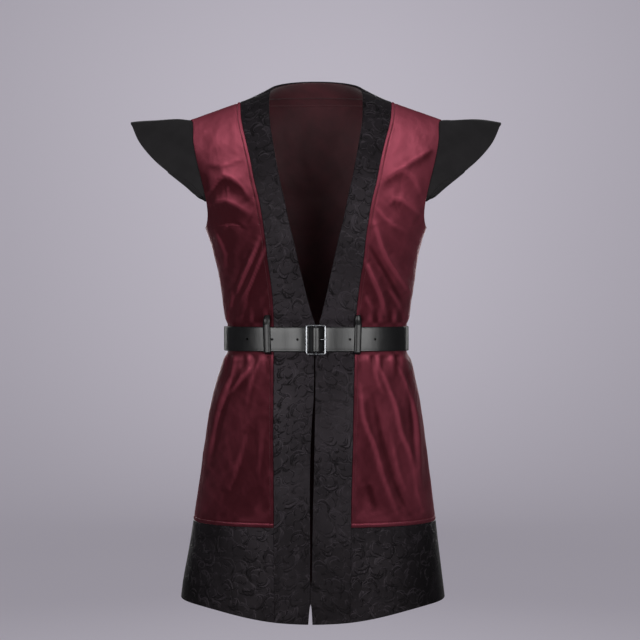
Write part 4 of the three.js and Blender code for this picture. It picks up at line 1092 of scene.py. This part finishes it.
def cutter(create, place, **shape):
    """A solid that cuts the strap and gives the cut walls a near black colour, painted shade for the inside
    of a hole.
    """
    bm = bmesh.new()
    create(bm, **shape)
    bmesh.ops.transform(bm, matrix=place, verts=bm.verts)
    mesh = bpy.data.meshes.new("cutter")
    mesh.materials.append(HOLE_SHADE_LOOK)
    bm.to_mesh(mesh)
    bm.free()
    obj = bpy.data.objects.new("cutter", mesh)
    bpy.context.scene.collection.objects.link(obj)
    return obj


def cut(obj, cutters):
    for tool in cutters:
        modifier = obj.modifiers.new("cut", "BOOLEAN")
        modifier.operation = "DIFFERENCE"
        modifier.solver = "EXACT"
        modifier.material_mode = "TRANSFER"
        modifier.object = tool
    graph = bpy.context.evaluated_depsgraph_get()
    mesh = bpy.data.meshes.new_from_object(obj.evaluated_get(graph))
    obj.modifiers.clear()
    obj.data = mesh
    for tool in cutters:
        bpy.data.objects.remove(tool)


strap = strap_mesh()
tools = []
for x, off, longer in HOLES:
    at = waist_point(turn_at(x), off)
    out = unit(at - waist_point(turn_at(x), 0.0))
    turned = Vector((0, 0, 1)).rotation_difference(Vector((*out, 0))).to_matrix().to_4x4()
    place = Matrix.Translation(Vector((*at, BELT["z"])) / 1000) @ turned
    size = dict(segments=28, radius1=0.002, radius2=0.002, depth=(THICK + longer) / 1000)
    tools.append(cutter(bmesh.ops.create_cone, place, cap_ends=True, **size))
slot_middle = Vector((6.9, front_y(0) - BUCKLE["off"] - 1.6, BELT["z"])) / 1000
slot_size = Matrix.Diagonal((0.0104, 0.007, 0.004, 1))
tools.append(cutter(bmesh.ops.create_cube, Matrix.Translation(slot_middle) @ slot_size, size=1.0))
cut(strap, tools)
strap.data.set_sharp_from_angle(angle=math.radians(42))
declare(strap, "belt_strap")

# ------------ buckle
BUCKLE_Y = front_y(0) - BUCKLE["off"]


def rounded_path(width, height, radius, steps=7):
    """The outline of a rectangle with round corners."""
    angles = np.radians(np.linspace(0, 90, steps + 1) + 90 * np.arange(4)[:, None])
    corners = np.array([(1, 1), (-1, 1), (-1, -1), (1, -1)]) * (width / 2 - radius, height / 2 - radius)
    return (corners[:, None] + radius * np.stack([np.cos(angles), np.sin(angles)], -1)).reshape(-1, 2)


def rod(line, radii, sides=14):
    """Points and faces of a round rod along a line, its ends drawn in to a small cap."""
    line = np.array(line, float)
    along = unit(np.gradient(line, axis=0))
    upright = np.array([0.0, 0.0, 1.0]) if abs(along[0, 2]) < 0.9 else np.array([1.0, 0.0, 0.0])
    first = unit(np.cross(along, upright))
    second = np.cross(along, first)
    angles = np.linspace(0, 2 * math.pi, sides, endpoint=False)[:, None]
    rings = []
    for centre, f, s, radius in zip(line, first, second, radii):
        rings.append(centre + radius * (np.cos(angles) * f + np.sin(angles) * s))
    head = line[0] + (rings[0] - line[0]) * 0.02 - along[0] * radii[0] * 0.3
    tail = line[-1] + (rings[-1] - line[-1]) * 0.02 + along[-1] * radii[-1] * 0.5
    return np.concatenate([head, *rings, tail]), grid_faces(len(rings) + 2, sides)


def frame_mesh():
    """The frame, a rounded section led round a rounded path, with its centre bar."""
    side = BUCKLE["side"]
    path = rounded_path(BUCKLE["width"] - side, BUCKLE["height"] - side, 2.2)
    profile = rounded_path(side, BUCKLE["depth"], 1.25, 5)
    out = square_to(unit(np.roll(path, -1, axis=0) - np.roll(path, 1, axis=0)))
    x, z = (path[:, None] + out[:, None] * profile[None, :, :1]).transpose(2, 0, 1)
    y = np.broadcast_to(BUCKLE_Y + profile[:, 1], x.shape)
    points = np.stack([x, y, BUCKLE["z"] + z], -1).reshape(-1, 3)
    faces = grid_faces(len(path), len(profile), closed_rows=True)
    bar_line = [(0, BUCKLE_Y, BUCKLE["z"] + s) for s in np.linspace(-22, 22, 12)]
    bar_points, bar_faces = rod(bar_line, [BUCKLE["bar"]] * 12)
    faces = np.concatenate([faces, bar_faces + len(points)])
    obj = new_object("buckle", np.concatenate([points, bar_points]), faces, [METAL_LOOK])
    set_normals(obj)
    return obj


declare(frame_mesh(), "buckle_frame")
prong_plan = smooth_line([(2.2, 0), (5, 0.7), (9, 2), (13, 3.3), (16, 3.5), (18.6, 2.7)], 0.8)
prong_line = [(x, BUCKLE_Y - off, BELT["z"] + 0.06 * max(x - 9, 0)) for x, off in prong_plan]
prong_radii = np.interp(np.linspace(0, 1, len(prong_line)), [0, 0.7, 1], [1.15, 1.05, 0.6])
declare(new_object("prong", *rod(prong_line, prong_radii), [METAL_LOOK]), "buckle_prong")

# ------------ belt loops
LOOP_RUN = table("z lift", [
    (-371, 0.1), (-374, 0.35), (-379, 0.75), (-385, 0.96), (-390, 1), (-410.5, 1), (-431, 1),
    (-432.8, 0.8), (-434.4, 0.3), (-435.4, 0),
])
loop_parts = ((-371, -392, 26), (-394, -428, 14), (-429, -435.4, 22))
LOOP_Z = np.concatenate([np.linspace(*part) for part in loop_parts])[:, None]
for side, middle in ((-1, LOOPS["right"]), (1, LOOPS["left"])):
    stack = (SECOND if side < 0 else FIRST) + THICK / 2
    across = (ladder(LOOPS["width"], 0.7, start=FINE[:5], end=FINE[:5]) - 0.5)[None, :] * LOOPS["width"]
    lean = 1.1 * side * (LOOP_Z + 407) / 37
    narrow = 1 - 0.3 * np.clip((LOOP_Z + 381) / 10, 0, 1) ** 2
    x = middle + lean + across * narrow
    off = 4 * LAYER_GAP + read(LOOP_RUN, "lift", LOOP_Z) * (stack - 2 * LAYER_GAP) + LOOP
    P, N = cloth(-1, turn_of(x - shift_at(LOOP_Z), LOOP_Z), LOOP_Z, off)
    P = P + N * (1.1 * (1 - (2 * across / LOOPS["width"]) ** 2))[..., None]
    sew("loop", finish_edges(P, N, roll=(0.8, 0.8, 0.8, 0.8)), N, side)

thread = stitch_mesh("velvet_stitching")
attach(thread, "root")

# ------------ room, light and camera


def room():
    """A round studio: a pale floor that sweeps up into a wall all the way round."""
    wall_radius, wall_top, floor, sweep, turns = 5.5, 4.5, -1.25, 1.8, 72
    profile = [(0.02, floor)]
    for angle in np.radians(np.linspace(0, 90, 13)):
        radius = wall_radius - sweep * (1 - math.sin(angle))
        profile.append((radius, floor + sweep * (1 - math.cos(angle))))
    profile.append((wall_radius, wall_top))
    angles = 2 * math.pi * np.arange(turns) / turns
    radius, z = np.array(profile).T[..., None]
    points = np.stack([radius * np.cos(angles), radius * np.sin(angles), z + 0 * angles], -1)
    n = Nodes("backdrop")
    look = n.finish(
        Base_Color=n.mix(n.noise(n.point(), 0.6, 1.0), colour(176, 172, 182), colour(184, 180, 189)),
        Roughness=0.95,
        Emission_Color=colour(142, 138, 147),
        Emission_Strength=0.95,
    )
    backdrop = new_object("backdrop", points.reshape(-1, 3) * 1000, grid_faces(len(profile), turns), [look])
    # The vest is lit by the lamps alone, so the room's own tone can be set apart from it.
    backdrop.visible_diffuse = False
    backdrop.visible_glossy = False


def area_light(name, place, target, size, power_w, spread=180):
    light = bpy.data.lights.new(name, "AREA")
    light.shape = "RECTANGLE"
    light.size, light.size_y = size
    light.energy = power_w
    light.spread = math.radians(spread)
    obj = bpy.data.objects.new(name, light)
    obj.location = place
    obj.rotation_mode = "QUATERNION"
    obj.rotation_quaternion = (Vector(place) - Vector(target)).to_track_quat("Z", "Y")
    obj.visible_camera = False
    bpy.context.scene.collection.objects.link(obj)


room()
for side in (-1, 1):
    area_light(f"soft_front_{side}", (1.55 * side, -2.7, 0.0), (0, 0, 0.0), (2.1, 1.6), 8.9, 62)
    area_light(f"soft_back_{side}", (0.9 * side, 3.0, 0.1), (0, 0, -0.2), (1.7, 1.7), 6.5, 70)
area_light("overhead", (0, -0.8, 1.5), (0, 0, -0.1), (1.6, 0.5), 0.6, 70)
for x, y in ((0, 1), (0, -1), (1, 0), (-1, 0)):
    area_light(f"wash_{x}_{y}", (3.9 * x, 3.9 * y, 0.5), (5.5 * x, 5.5 * y, 0.5), (1.2, 1.0), 10)

world = bpy.data.worlds.new("studio")
world.use_nodes = True
sky = world.node_tree.nodes["Background"].inputs
sky[0].default_value = colour(200, 198, 206)
sky[1].default_value = 0.1
bpy.context.scene.world = world
bpy.context.scene.view_settings.view_transform = "Standard"

camera_data = bpy.data.cameras.new("camera")
camera_data.sensor_width = 36
camera_data.lens = 101.25
camera_data.shift_y = -20 / 640
camera_data.clip_end = 50
camera = bpy.data.objects.new("camera", camera_data)
camera.location = (0.0067, -3.0, -0.347)
camera.rotation_euler = (math.radians(90), 0, 0)
bpy.context.scene.collection.objects.link(camera)
bpy.context.scene.camera = camera

bpy.context.view_layer.update()
